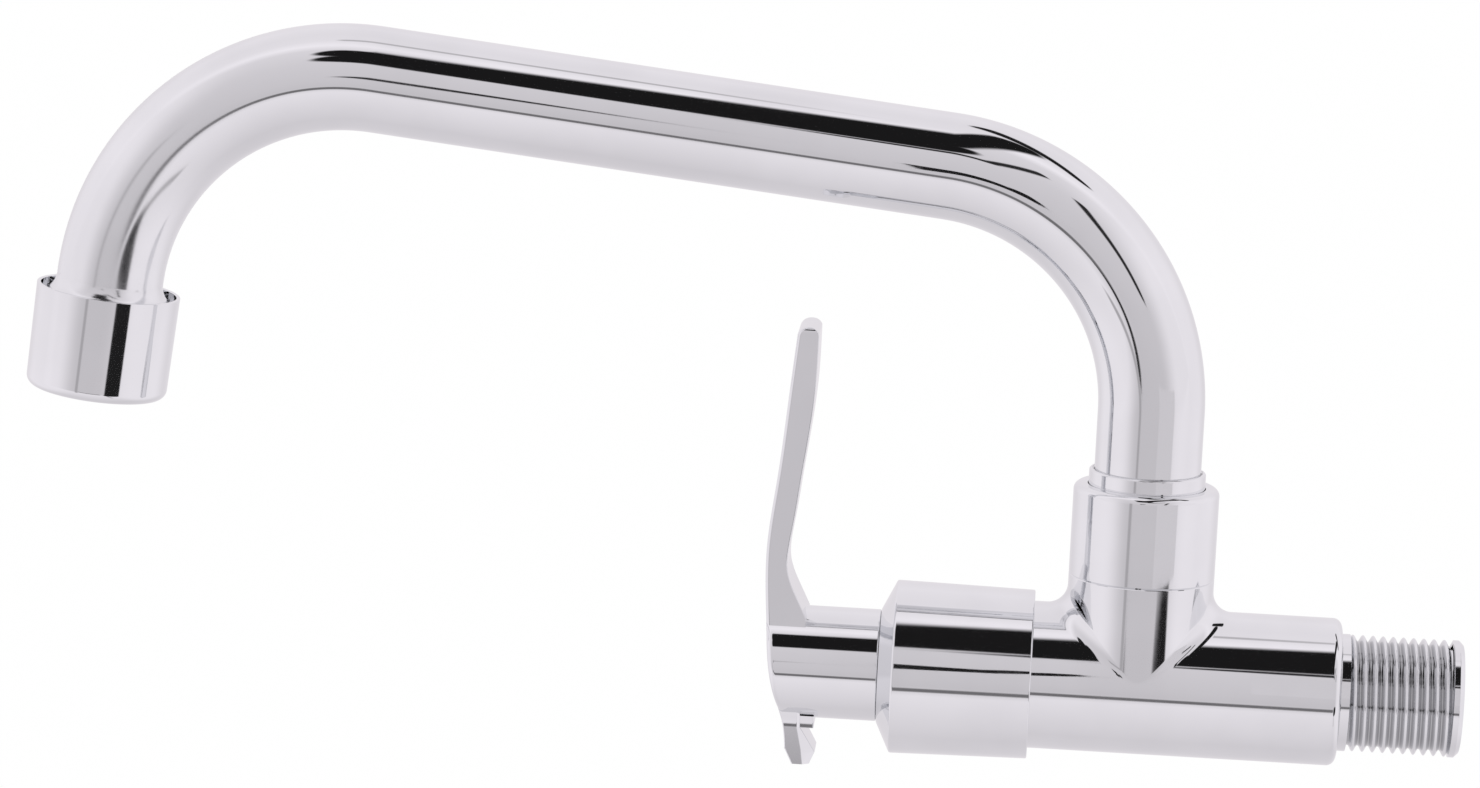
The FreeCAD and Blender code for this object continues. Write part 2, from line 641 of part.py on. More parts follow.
# ---------------------------------------------------------------- trim cap
def make_trim_cap():
    """Sleeve with a cone; its inner web screws on the headwork's collar."""
    outer, mouth = CAP_D / 2, CAP_MOUTH_D / 2
    hollow = CAP_BORE_D / 2
    thread = COLLAR_D / 2 + SCREWED
    aperture = CAP_APERTURE_D / 2
    return turned([
        (CAP_MOUTH_X, hollow), (CAP_MOUTH_X, mouth, CAP_MOUTH_ROUND), (CAP_CORNER_X, outer, CAP_EDGE_ROUND),
        (CAP_FRONT_X, HUB_D / 2 + CONE_OVER_HUB), (CAP_FRONT_X, aperture), (CAP_CORNER_X, aperture),
        (CAP_CORNER_X, thread), (CAP_WEB_X, thread), (CAP_WEB_X, hollow),
    ], INLET)


def make_cap_o_ring():
    """O-ring in the barrel's groove that centres the cap."""
    return o_ring(CAP_O_RING_X, CAP_BORE_D, CAP_O_RING - RUNNING, INLET)


# ---------------------------------------------------------------- handle
def spline_curve(points):
    """Smooth edge through (x, z) points."""
    curve = Part.BSplineCurve()
    curve.interpolate([V(x, 0, z) for x, z in points])
    return curve.toShape()


def on_blade(line):
    """Points of the blade's outline, whose heights are shares of its height above the hub."""
    above = LEVER_REACH - HUB_D / 2
    return [(HUB_FRONT_X + behind, HUB_D / 2 + share * above) for behind, share in line]


def on_tail(line):
    """Points of the tail's outline, whose heights are shares of its length below the hub."""
    below = LEVER_TAIL - HUB_D / 2
    return [(HUB_FRONT_X + behind, -HUB_D / 2 - share * below) for behind, share in line]


def lever_side():
    """The lever seen from the side: a bent blade over the hub's front and a short hooked tail."""
    hub_r = HUB_D / 2
    block_front, block_back = TAIL_BLOCK
    front_line = on_blade(BLADE_FRONT_LINE) + [(HUB_FRONT_X + b, h) for b, h in HUB_FRONT_LINE]
    front_line += on_tail(TAIL_FRONT_LINE)
    back_line = [(HUB_FRONT_X + BLADE_ROOT_BEHIND, hub_r - TAIL_BLOCK_SINK)] + on_blade(BLADE_BACK_LINE)
    foot = [front_line[-1]] + on_tail(TAIL_FOOT_LINE) + [
        (HUB_FRONT_X + block_front, -hub_r - TAIL_BLOCK_DROP),
        (HUB_FRONT_X + block_back, -hub_r - TAIL_BLOCK_DROP),
        (HUB_FRONT_X + block_back, TAIL_BLOCK_SINK - hub_r),
        back_line[0],
    ]
    tip_middle = (HUB_FRONT_X + LEVER_TIP_MIDDLE, LEVER_REACH)
    tip = [V(x, 0, z) for x, z in (back_line[-1], tip_middle, front_line[0])]
    edges = [spline_curve(front_line)]
    edges += [Part.makeLine(V(a[0], 0, a[1]), V(b[0], 0, b[1])) for a, b in zip(foot, foot[1:])]
    edges += [spline_curve(back_line), Part.Arc(*tip).toShape()]
    return Part.Face(Part.Wire(edges))


def lever_front():
    """Blade and tail seen from the front, narrower than the hub that they cross."""
    half, tail = BLADE_WIDTH / 2, TAIL_WIDTH / 2
    right = [
        (tail - TAIL_TAPER, -LEVER_TAIL - PAST, 0), (tail, -HUB_D / 2, 0),
        (half + BLADE_ROOT_WIDER, HUB_D / 2, 0), (half, LEVER_REACH + EDGE_BREAK, BLADE_TIP_ROUND),
    ]
    left = [(-y, z, radius) for y, z, radius in reversed(right)]
    points = right + left
    corners = [V(0, y, z) for y, z, radius in points]
    count = len(corners)
    stops = []
    for i, point in enumerate(points):
        radius = point[2]
        if radius:
            stops.append(corner_arc(corners[i - 1], corners[i], corners[(i + 1) % count], radius))
        else:
            stops.append((corners[i],))
    edges = []
    for i, stop in enumerate(stops):
        if len(stop) == 3:
            edges.append(Part.Arc(*stop).toShape())
        edges.append(Part.makeLine(stop[-1], stops[(i + 1) % count][0]))
    return Part.Face(Part.Wire(edges))


def lever_slab():
    """The lever's side outline, as a slab wider than the lever."""
    slab = lever_side().extrude(V(0, 2 * HUB_D, 0))
    slab.translate(V(0, -HUB_D, 0))
    return slab


def lever_hub():
    """Round hub whose front follows the lever's front line, with a rounded rim."""
    hub_r = HUB_D / 2
    plain_from = HUB_FRONT_X + HUB_RIM_BEHIND
    plain = turned([
        (HUB_REAR_X, 0), (HUB_REAR_X, hub_r, HUB_EDGE_ROUND), (plain_from, hub_r), (plain_from, 0),
    ], INLET)
    front = rod(plain_from, HUB_FRONT_X - PAST, HUB_D, INLET).common(lever_slab())
    rim = [edge for edge in front.Edges if edge.BoundBox.XMax < plain_from - PAST]
    return plain.fuse(front.makeFillet(HUB_RIM_ROUND, rim))


def make_lever_handle():
    """Hub, blade and tail in one casting, bored for spline, screw and plug."""
    wide = HUB_D
    front = lever_front().extrude(V(3 * wide, 0, 0))
    front.translate(V(HUB_FRONT_X - wide, 0, 0))
    handle = lever_hub().fuse(lever_slab().common(front))
    recess = rod(HUB_REAR_X + PAST, HUB_REAR_X - HUB_REAR_RECESS, HUB_REAR_RECESS_D, INLET)
    socket = splined(HUB_REAR_X, SOCKET_END_X, SPLINE_D, SPLINE_DEPTH, RUNNING)
    screw = rod(SOCKET_END_X + PAST, SCREW_SEAT_X - PAST, SCREW_D + 2 * ENTRY, INLET)
    counterbore = rod(SCREW_SEAT_X, PLUG_SEAT_X - PAST, SCREW_WASHER_D + 2 * ENTRY, INLET)
    plug = rod(PLUG_SEAT_X, HUB_FRONT_X - PAST, PLUG_D, INLET)
    return handle.cut(recess.fuse(socket).fuse(screw).fuse(counterbore).fuse(plug))


def make_handle_screw():
    """Socket-head screw that pulls the hub on the spindle's spline."""
    head_end = SCREW_HEAD_X - SCREW_HEAD_H
    head_r = SCREW_HEAD_D / 2
    screw = turned([
        (SCREW_HEAD_X + SCREW_LENGTH, 0), (SCREW_HEAD_X + SCREW_LENGTH, SCREW_D / 2, SCREW_ROUND),
        (SCREW_HEAD_X, SCREW_D / 2), (SCREW_HEAD_X, head_r), (head_end, head_r, SCREW_ROUND), (head_end, 0),
    ], INLET)
    corner = SCREW_DRIVE_FLATS / math.sqrt(3)
    points = []
    for i in range(6):
        angle = math.radians(60 * i)
        points.append(V(head_end - PAST, corner * math.cos(angle), corner * math.sin(angle)))
    drive = Part.Face(Part.makePolygon(points + points[:1])).extrude(V(SCREW_DRIVE_DEPTH + PAST, 0, 0))
    return screw.cut(drive)


def make_screw_washer():
    """Washer under the screw's head."""
    return tube(SCREW_SEAT_X, SCREW_HEAD_X, SCREW_WASHER_D, SCREW_D + 2 * RUNNING, INLET)


def make_index_plug():
    """Plain press-in button that hides the screw, hollow behind and flush with the lever's front."""
    outer = PLUG_D / 2 - RUNNING
    button = rod(PLUG_SEAT_X, HUB_FRONT_X - PAST, 2 * outer, INLET)
    button = button.cut(rod(PLUG_SEAT_X + PAST, PLUG_SEAT_X - PLUG_HOLLOW, 2 * (outer - PLUG_WALL), INLET))
    return button.common(lever_slab())


# ---------------------------------------------------------------- spout
def pipe_path(start, end):
    """Centre line: riser, bend, long run, bend and the outlet leg."""
    first = corner_arc(start, FIRST_CORNER, SECOND_CORNER, BEND_R_WALL)
    second = corner_arc(FIRST_CORNER, SECOND_CORNER, end, BEND_R_OUTLET)
    edges = [
        Part.makeLine(start, first[0]),
        Part.Arc(*first).toShape(),
        Part.makeLine(first[2], second[0]),
        Part.Arc(*second).toShape(),
        Part.makeLine(second[2], end),
    ]
    return Part.Wire(edges)


def swept_round(start, end, diameter):
    """Round bar along the pipe's centre line."""
    path = pipe_path(start, end)
    circle = Part.Wire(Part.makeCircle(diameter / 2, start, V(0, 0, 1)))
    return path.makePipeShell([circle], True, False)


def make_spout_pipe():
    """Bent tube from the tail bush's socket to the ferrule's stop."""
    start = V(BRANCH_X, 0, PIPE_START_Z)
    end = RIM_CENTRE + OUTLET_DIRECTION * PIPE_END_S
    outside = swept_round(start, end, PIPE_D)
    inside = swept_round(start - V(0, 0, PAST), end + OUTLET_DIRECTION * PAST, PIPE_D - 2 * PIPE_WALL)
    return outside.cut(inside)


def make_tail_bush():
    """Turned bush brazed on the pipe: socket above the nut, flange under it, spigot in the branch."""
    socket_r = SOCKET_D / 2
    spigot_r = SPIGOT_BORE_D / 2 - RUNNING
    floor_r = spigot_r - SPOUT_O_RING + RUNNING
    seat_r = PIPE_D / 2 + RUNNING
    bore_r = TAIL_BORE_D / 2
    half = O_RING_GROOVE / 2
    points = [(SPIGOT_END_Z, bore_r), (SPIGOT_END_Z, spigot_r, EDGE_BREAK)]
    for middle in reversed(SPOUT_O_RING_Z):
        points += [(middle - half, spigot_r), (middle - half, floor_r)]
        points += [(middle + half, floor_r), (middle + half, spigot_r)]
    points += [
        (FLANGE_Z, spigot_r), (FLANGE_Z, FLANGE_D / 2), (GLIDE_Z, FLANGE_D / 2), (GLIDE_Z, socket_r),
        (SOCKET_TOP_Z, socket_r, EDGE_BREAK), (SOCKET_TOP_Z, seat_r), (PIPE_START_Z, seat_r),
        (PIPE_START_Z, bore_r),
    ]
    return turned(points, BRANCH)


def make_spout_o_rings():
    """Both O-rings of the spigot."""
    rings = []
    for middle in SPOUT_O_RING_Z:
        rings.append(o_ring(middle, SPIGOT_BORE_D - 2 * RUNNING, SPOUT_O_RING - RUNNING * 2, BRANCH))
    return Part.makeCompound(rings)


def make_thrust_washer():
    """Washer that the flange turns on."""
    return tube(NECK_TOP_Z, FLANGE_Z, FLANGE_D - 2 * ENTRY, SPIGOT_BORE_D + ENTRY, BRANCH)


def make_glide_ring():
    """Ring between the flange and the nut's shoulder."""
    return tube(GLIDE_Z, GLIDE_Z + GLIDE_RING, FLANGE_D, SOCKET_D + 2 * RUNNING, BRANCH)


def make_outlet_ferrule():
    """Flared collar brazed on the pipe's end, with the thread that carries the aerator."""
    seat_r = PIPE_D / 2 + RUNNING
    thread_r = OUTLET_THREAD_D / 2
    bore_r = FERRULE_BORE_D / 2
    return turned([
        (-FLARE_ABOVE_RIM, seat_r), (-FLARE_ABOVE_RIM, seat_r + FLARE_TOP_WALL),
        (FLARE_CORNER, FLARE_D / 2, FLARE_ROUND), (CUP_RIM_DEPTH, FLARE_D / 2),
        (CUP_RIM_DEPTH + BAND_SLOPE, thread_r), (FERRULE_BELOW_RIM, thread_r, EDGE_BREAK),
        (FERRULE_BELOW_RIM, bore_r), (PIPE_END_S, bore_r), (PIPE_END_S, seat_r),
    ], OUTLET)


def make_aerator_housing():
    """Cup screwed on the ferrule, with a thin open rim and a lip that holds the insert."""
    rim, mouth = CUP_D / 2, CUP_MOUTH_D / 2
    thread = OUTLET_THREAD_D / 2 + SCREWED
    lip = CUP_LIP_BORE_D / 2
    sleeve = insert_radius() + ENTRY
    flange_s = INSERT_S + INSERT_FLANGE
    return turned([
        (0, rim - CUP_RIM_WALL), (0, rim), (CUP_LENGTH, mouth, CUP_BOTTOM_ROUND),
        (CUP_LENGTH, lip, CUP_LIP_ROUND), (SEAT_LIP_S, lip), (SEAT_LIP_S, sleeve), (flange_s, sleeve),
        (flange_s, thread), (CUP_RIM_DEPTH, thread), (CUP_RIM_DEPTH, rim - CUP_RIM_WALL),
    ], OUTLET)


def insert_radius():
    """Outside radius of the aerator insert's sleeve."""
    return OUTLET_THREAD_D / 2 - INSERT_STEP_IN


def make_seal_washer():
    """Flat rubber washer between the ferrule and the insert."""
    return tube(WASHER_S, INSERT_S, OUTLET_THREAD_D - ENTRY, SEAL_WASHER_BORE_D, OUTLET)


def grid_bars(radius, start, end, pitch, bar):
    """Crossed bars inside a circle round the outlet's axis."""
    bars = []
    count = int(radius // pitch)
    depth = end - start
    for i in range(-count, count + 1):
        for turn in (0, 90):
            strip = Part.makeBox(bar, 2 * radius, depth, V(i * pitch - bar / 2, -radius, start))
            strip.rotate(V(0, 0, 0), V(0, 0, 1), turn)
            bars.append(strip)
    lattice = bars[0].multiFuse(bars[1:])
    round_off = Part.makeCylinder(radius, depth, V(0, 0, start))
    lattice = lattice.common(round_off)
    base, direction = OUTLET
    lattice.Placement = FreeCAD.Placement(base, FreeCAD.Rotation(V(0, 0, 1), direction))
    return lattice


def make_aerator_insert():
    """Plastic sleeve with a flange and the outlet grid."""
    outer = insert_radius()
    inner = outer - INSERT_WALL
    flange = OUTLET_THREAD_D / 2 - ENTRY / 2
    end = SEAT_LIP_S
    sleeve = turned([
        (INSERT_S, inner), (INSERT_S, flange), (INSERT_S + INSERT_FLANGE, flange),
        (INSERT_S + INSERT_FLANGE, outer), (end, outer), (end, inner),
    ], OUTLET)
    grid = grid_bars(inner + INSERT_WALL / 2, end - GRID_DEPTH, end, GRID_PITCH, GRID_BAR)
    return sleeve.fuse(grid).removeSplitter()


def make_diffuser():
    """Perforated cup that breaks the stream up, seated in the insert's mouth."""
    outer = insert_radius() - INSERT_WALL - RUNNING
    floor_s = INSERT_S + DIFFUSER_PLATE
    plate = turned([
        (INSERT_S, 0), (INSERT_S, outer), (DIFFUSER_END_S, outer),
        (DIFFUSER_END_S, outer - DIFFUSER_RIM_WALL), (floor_s, outer - DIFFUSER_RIM_WALL), (floor_s, 0),
    ], OUTLET)
    base, direction = OUTLET
    across = V(0, 1, 0)
    for i in range(DIFFUSER_HOLES):
        turn = FreeCAD.Rotation(direction, 360.0 * i / DIFFUSER_HOLES)
        middle = base + turn.multVec(across) * (DIFFUSER_PCD / 2)
        plate = plate.cut(rod(INSERT_S - PAST, floor_s + PAST, DIFFUSER_HOLE_D, (middle, direction)))
    return plate


def make_screens():
    """Woven steel screens below the diffuser, each a rim with crossed wires."""
    outer = insert_radius() - INSERT_WALL - RUNNING
    screens = []
    for i in range(SCREEN_COUNT):
        start = DIFFUSER_END_S + i * (SCREEN_THICK + SCREEN_GAP)
        end = start + SCREEN_THICK
        rim = tube(start, end + SCREEN_GAP, 2 * outer, 2 * (outer - SCREEN_RIM_WALL), OUTLET)
        wires = grid_bars(outer - SCREEN_RIM_WALL / 2, start, end, SCREEN_PITCH, SCREEN_WIRE)
        screens.append(rim.fuse(wires).removeSplitter())
    return Part.makeCompound(screens)


# ---------------------------------------------------------------- all pieces
PIECES = {
    "tee_body": make_tee_body,
    "spout_nut": make_spout_nut,
    "seat_seal": make_seat_seal,
    "fixed_ceramic_disc": make_fixed_disc,
    "moving_ceramic_disc": make_moving_disc,
    "headwork_body": make_headwork_body,
    "headwork_o_ring": make_headwork_o_ring,
    "spindle": make_spindle,
    "spindle_o_rings": make_spindle_o_rings,
    "spindle_slip_washer": make_slip_washer,
    "spindle_clip": make_spindle_clip,
    "trim_cap": make_trim_cap,
    "cap_o_ring": make_cap_o_ring,
    "lever_handle": make_lever_handle,
    "handle_screw": make_handle_screw,
    "handle_screw_washer": make_screw_washer,
    "index_plug": make_index_plug,
    "spout_pipe": make_spout_pipe,
    "spout_tail_bush": make_tail_bush,
    "spout_o_rings": make_spout_o_rings,
    "spout_thrust_washer": make_thrust_washer,
    "spout_glide_ring": make_glide_ring,
    "outlet_ferrule": make_outlet_ferrule,
    "aerator_housing": make_aerator_housing,
    "aerator_seal_washer": make_seal_washer,
    "aerator_insert": make_aerator_insert,
    "aerator_diffuser": make_diffuser,
    "aerator_screens": make_screens,
}


def main():
    """Make every piece, check that its solids are closed and write it."""
    os.makedirs("parts", exist_ok=True)
    for name, make in PIECES.items():
        shape = make()
        solids = shape.Solids
        if not solids or not shape.isValid():
            raise ValueError(name + " is not a valid solid")
        shape.exportStep("parts/" + name + ".step")
        box = shape.BoundBox
        print("%-22s %2d solid(s) %9.1f mm3  x %7.1f %6.1f  y %6.1f %5.1f  z %6.1f %6.1f" % (
            name, len(solids), sum(s.Volume for s in solids),
            box.XMin, box.XMax, box.YMin, box.YMax, box.ZMin, box.ZMax))


main()
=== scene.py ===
"""Chrome-plated wall tap: quarter-turn lever, trim cap, tee body, swivel spout and aerator cup.

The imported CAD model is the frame. Smooth plated skins stand over its visible nodes, and the inner pieces
keep their CAD meshes with finishes of their own. Lengths in the settings are in metres.
"""

import math

import bpy
import numpy as np
from mathutils import Matrix, Vector


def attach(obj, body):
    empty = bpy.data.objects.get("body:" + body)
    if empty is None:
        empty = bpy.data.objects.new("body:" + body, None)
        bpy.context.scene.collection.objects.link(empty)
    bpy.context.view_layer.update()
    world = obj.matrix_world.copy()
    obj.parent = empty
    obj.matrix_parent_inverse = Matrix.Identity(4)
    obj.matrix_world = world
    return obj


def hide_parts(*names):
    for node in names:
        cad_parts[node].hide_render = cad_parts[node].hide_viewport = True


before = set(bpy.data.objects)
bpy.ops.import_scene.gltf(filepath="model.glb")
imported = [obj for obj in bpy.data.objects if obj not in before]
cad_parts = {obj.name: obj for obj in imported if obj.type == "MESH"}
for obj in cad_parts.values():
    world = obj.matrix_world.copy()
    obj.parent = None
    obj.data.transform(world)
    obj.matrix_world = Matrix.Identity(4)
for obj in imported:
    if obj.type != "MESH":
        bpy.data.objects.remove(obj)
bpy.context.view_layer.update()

bl_info = {
    "name": "Wall Tap",
    "version": (1, 0, 0),
    "blender": (4, 5, 0),
    "location": "3D View > Sidebar > Wall Tap",
    "description": "Builds a chrome-plated wall tap with a swivel spout round its CAD frame",
    "category": "Add Mesh",
}

MM = 0.001


# ---------------------------------------------------------------- settings
def linear(hex_colour):
    """Linear RGBA from an sRGB hex colour."""
    digits = hex_colour.lstrip("#")
    values = []
    for i in (0, 2, 4):
        c = int(digits[i:i + 2], 16) / 255
        values.append(c / 12.92 if c <= 0.04045 else ((c + 0.055) / 1.055) ** 2.4)
    return (*values, 1.0)


def length(name, description, default):
    """A length setting, given in millimetres and kept in metres."""
    return bpy.props.FloatProperty(
        name=name, description=description, default=default * MM, min=0.0, precision=5,
        unit="LENGTH", subtype="DISTANCE")


def degrees(name, description, default):
    """An angle setting, given in degrees and kept in radians."""
    return bpy.props.FloatProperty(
        name=name, description=description, default=math.radians(default), subtype="ANGLE")


def colour(name, description, hex_colour):
    """A colour setting from an sRGB hex value."""
    return bpy.props.FloatVectorProperty(
        name=name, description=description, default=linear(hex_colour)[:3], size=3,
        min=0.0, max=1.0, subtype="COLOR")


class TapSizes(bpy.types.PropertyGroup):
    """Sizes of the tap's visible pieces."""

    # inlet thread, G 1/2
    thread_radius: length("Thread crest radius", "Crest radius of the inlet thread", 20.955 / 2)
    thread_root: length("Thread root radius", "Root radius of the inlet thread", 18.631 / 2)
    thread_pitch: length("Thread pitch", "14 threads per inch", 1.814)
    thread_length: length("Thread length", "From the shoulder to the inlet's end", 21.8)
    neck_band: length("Neck band", "Plain band between shoulder and thread", 1.6)
    end_band: length("End band", "Plain band at the inlet's end", 1.8)
    end_chamfer: length("End chamfer", "Chamfer of the inlet's end", 0.8)
    inlet_bore: length("Inlet bore radius", "Radius of the waterway", 7.5)
    # tee body
    barrel_radius: length("Barrel radius", "Outside radius of the horizontal barrel", 13.2)
    barrel_length: length("Barrel length", "From the shoulder to the barrel's mouth", 59.0)
    shoulder_round: length("Shoulder round", "Rounded edge at the wall end", 1.6)
    branch_offset: length("Branch offset", "From the shoulder to the branch's axis", 36.3)
    branch_radius: length("Branch radius", "Outside radius of branch and nut", 13.0)
    branch_height: length("Branch height", "From the inlet axis to the branch's top", 19.3)
    branch_fillet: length("Branch fillet", "Rounded corner between branch and barrel", 3.8)
    nut_height: length("Nut height", "Height of the collar nut", 16.4)
    nut_round: length("Nut round", "Rounded top edge of the collar nut", 1.3)
    seam: length("Seam chamfer", "Broken edges where branch and nut meet", 0.2)
    # spout
    socket_radius: length("Socket radius", "Ring between nut and pipe", 10.2)
    socket_rise: length("Socket rise", "Ring above the nut", 2.7)
    pipe_radius: length("Pipe radius", "Outside radius of the spout", 9.5)
    pipe_wall: length("Pipe wall", "Wall of the spout's tube", 1.0)
    riser_corner: length("Riser corner", "Height of the first bend's corner", 87.3)
    run_length: length("Run length", "From corner to corner", 183.7)
    run_slope: degrees("Run slope", "Rise of the long run", 5.55)
    outlet_tilt: degrees("Outlet tilt", "Lean of the outlet leg", 5.8)
    outlet_drop: length("Outlet drop", "From the second corner to the cup's rim", 44.65)
    wall_bend: length("Wall bend radius", "Centre-line radius above the branch", 42.2)
    outlet_bend: length("Outlet bend radius", "Centre-line radius above the outlet", 42.8)
    # outlet
    cup_radius: length("Cup radius", "Aerator cup at its rim", 12.85)
    cup_mouth: length("Cup mouth radius", "Aerator cup at its lower edge", 12.6)
    cup_length: length("Cup length", "Height of the aerator cup", 18.7)
    cup_round: length("Cup round", "Rounded lower edge of the cup", 1.8)
    flare_radius: length("Flare radius", "Flared end of the spout inside the cup's rim", 10.7)
    # cap and lever
    cap_radius: length("Cap radius", "Trim cap before its cone", 15.55)
    cap_mouth: length("Cap mouth radius", "Trim cap where it covers the barrel", 15.15)
    cap_length: length("Cap length", "From the cap's mouth to its cone", 24.7)
    cap_cone: length("Cap cone", "Length of the cone", 2.6)
    cap_overlap: length("Cap overlap", "How far the cap covers the barrel", 4.0)
    hub_radius: length("Hub radius", "Round hub of the lever", 10.05)
    hub_length: length("Hub length", "From the hub's rear to the lever's front", 20.7)
    lever_reach: length("Lever reach", "From the hub's axis to the blade's tip", 61.7)
    lever_tail: length("Lever tail", "From the hub's axis to the tail's end", 17.9)
    blade_width: length("Blade width", "Width of the lever at its tip", 12.4)
    tail_width: length("Tail width", "Width of the lever's tail", 10.4)
    edge_round: length("Lever edge", "Rounded edges of the lever", 0.7)
    plug_radius: length("Plug radius", "Plain button in the lever's front", 4.45)


class TapFinishes(bpy.types.PropertyGroup):
    """Base colours of the tap's finishes."""

    chrome: colour("Chrome", "Bright chrome plate", "#E9EAEC")
    brass: colour("Brass", "Turned brass", "#C9A45C")
    rubber: colour("Rubber", "Black sealing rubber", "#1B1B1C")
    ceramic: colour("Ceramic", "Alumina ceramic", "#EDEAE2")
    steel: colour("Steel", "Stainless steel", "#B9BCC0")
    white_plastic: colour("White plastic", "Natural acetal", "#ECEAE4")
    grey_plastic: colour("Grey plastic", "Grey acetal", "#8C8E90")


class TapStudio(bpy.types.PropertyGroup):
    """Camera and surroundings of the studio view."""

    azimuth: degrees("Azimuth", "Camera's turn about the vertical", 3.0)
    elevation: degrees("Elevation", "Camera's height above the horizon", 10.0)
    roll: degrees("Roll", "Camera's turn about its own axis", 2.7)
    distance: bpy.props.FloatProperty(
        name="Distance", description="From the camera to the middle of the view", default=1.0,
        unit="LENGTH", subtype="DISTANCE")
    focal_pixels: bpy.props.FloatProperty(
        name="Focal length in pixels", description="Of the picture's full width", default=5600.0)
    picture_width: bpy.props.FloatProperty(
        name="Picture width", description="Width of the picture in pixels", default=1480.0)
    middle: bpy.props.FloatVectorProperty(
        name="Middle of the view", description="Point that the camera looks at", size=3,
        default=(-0.10962, 0.0, 0.0480), subtype="XYZ", unit="LENGTH")
    floor_height: length("Floor height", "Floor below the inlet's axis", 250.0)


def sizes():
    """The current sizes."""
    return bpy.context.scene.tap_sizes


def places():
    """Stations that follow from the sizes, in metres."""
    s = sizes()
    place = {}
    place["cap_mouth_x"] = s.cap_overlap - s.barrel_length
    place["cap_corner_x"] = place["cap_mouth_x"] - s.cap_length
    place["cap_front_x"] = place["cap_corner_x"] - s.cap_cone
    place["hub_rear_x"] = place["cap_front_x"] - HUB_GAP
    place["hub_front_x"] = place["hub_rear_x"] - s.hub_length
    place["nut_top_z"] = s.branch_height + s.nut_height
    place["socket_top_z"] = place["nut_top_z"] + s.socket_rise
    return place


# smaller sizes that nobody would change, in metres
HUB_GAP = 0.5 * MM
HUB_CLOSER = 0.45 * MM  # the skin's rear edge all but meets the cap
BORED_FROM = -20.0 * MM
SEAT_RADIUS = 6.25 * MM
SEAT_END = -26.0 * MM
CHAMBER_RADIUS = 9.8 * MM
CHAMBER_END = -47.0 * MM
HEADWORK_RADIUS = 9.945 * MM
RECESS_START = -57.4 * MM
RECESS_RADIUS = 11.445 * MM
NECK_RADIUS = 11.5 * MM
NECK_TOP = 27.0 * MM
SPIGOT_BORE = 8.5 * MM
SPIGOT_FLOOR = 12.8 * MM
PATCH_WALL_END = -6.0 * MM
PATCH_CAP_END = -54.5 * MM
BAND_SLOPE = 0.3 * MM
SMALL_EDGE = 0.15 * MM  # broken edge of a plated piece
HIDDEN = 0.005 * MM  # start of the flare, just inside the tube
PLAY = 0.05 * MM  # between pieces that slide into each other
FLANK_ANGLE = math.radians(27.5)  # half the angle of the pipe thread
CREST_BLEND, ROOT_BLEND = 0.6 * MM, 0.4 * MM
FLANGE_LOW, FLANGE_TOP, FLANGE_RADIUS = 27.8 * MM, 30.2 * MM, 11.4 * MM  # of the tail bush
NUT_LEDGE = 31.25 * MM  # underside of the nut's inner shoulder
NUT_ROOM = 0.3 * MM  # between the socket and the nut, and between cap and barrel
OUTLET_THREAD, OUTLET_BORE, OUTLET_END = 11.0 * MM, 7.75 * MM, 8.0 * MM  # of the ferrule
PIPE_END = 6.0 * MM  # below the cup's rim
CUP_SCREW, CUP_SCREW_END = 11.05 * MM, 10.7 * MM  # the cup's plain-walled thread
CUP_POCKET, CUP_LIP, CUP_LIP_TOP = 10.4 * MM, 9.5 * MM, 17.6 * MM
CUP_GROOVE = 2.6 * MM  # below the rim, where the thin rim's wall ends
CAP_BORE, CAP_STEP, CAP_STEP_DEPTH = 9.0 * MM, 10.0 * MM, 9.0 * MM


# ---------------------------------------------------------------- mesh building
class Skin:
    """Collects grids of points with exact surface normals and makes one mesh of them."""

    def __init__(self):
        self.points = []
        self.index = {}
        self.faces = []
        self.normals = []

    def corner(self, point):
        key = (round(point[0] * 1e7), round(point[1] * 1e7), round(point[2] * 1e7))
        found = self.index.get(key)
        if found is None:
            found = len(self.points)
            self.index[key] = found
            self.points.append((float(point[0]), float(point[1]), float(point[2])))
        return found

    def add(self, points, normals):
        """Adds one face. Its corners run the way that its normals say."""
        corners, kept, places_kept = [], [], []
        for point, normal in zip(points, normals):
            i = self.corner(point)
            if i not in corners:
                corners.append(i)
                kept.append(normal)
                places_kept.append(point)
        if len(corners) < 3:
            return
        flat = np.zeros(3)
        for a, b in zip(places_kept, places_kept[1:] + places_kept[:1]):
            flat += np.cross(a, b)
        if flat @ np.sum(kept, axis=0) < 0:
            corners.reverse()
            kept.reverse()
        self.faces.append(corners)
        self.normals += [tuple(n) for n in kept]

    def grid(self, points, normals):
        """Adds a sheet of four-sided faces from points[row][column] and normals of the same shape."""
        rows, columns = len(points), len(points[0])
        for i in range(rows - 1):
            for j in range(columns - 1):
                ring = ((i, j), (i, j + 1), (i + 1, j + 1), (i + 1, j))
                self.add([points[a][b] for a, b in ring], [normals[a][b] for a, b in ring])

    def disc(self, rim, normal):
        """Closes a ring of points with one flat face."""
        self.add(list(rim), [np.array(normal)] * len(rim))

    def finish(self, name):
        """Makes the object, with the collected normals as its own."""
        mesh = bpy.data.meshes.new(name)
        mesh.from_pydata(self.points, [], self.faces)
        mesh.shade_smooth()
        mesh.normals_split_custom_set(self.normals)
        mesh.validate(clean_customdata=False)
        return link(bpy.data.objects.new(name, mesh))


def link(piece):
    """Puts an object in the scene."""
    bpy.context.scene.collection.objects.link(piece)
    return piece


def ready(piece, body, material, *nodes, slot=None):
    """Gives a finished piece its material, its body and the CAD nodes that it stands for."""
    piece.data.materials.clear()
    piece.data.materials.append(material)
    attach(piece, body)
    if nodes:
        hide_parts(*nodes)
    return piece


def unit(vector):
    """The vector at length one."""
    return np.array(vector, float) / np.linalg.norm(vector)


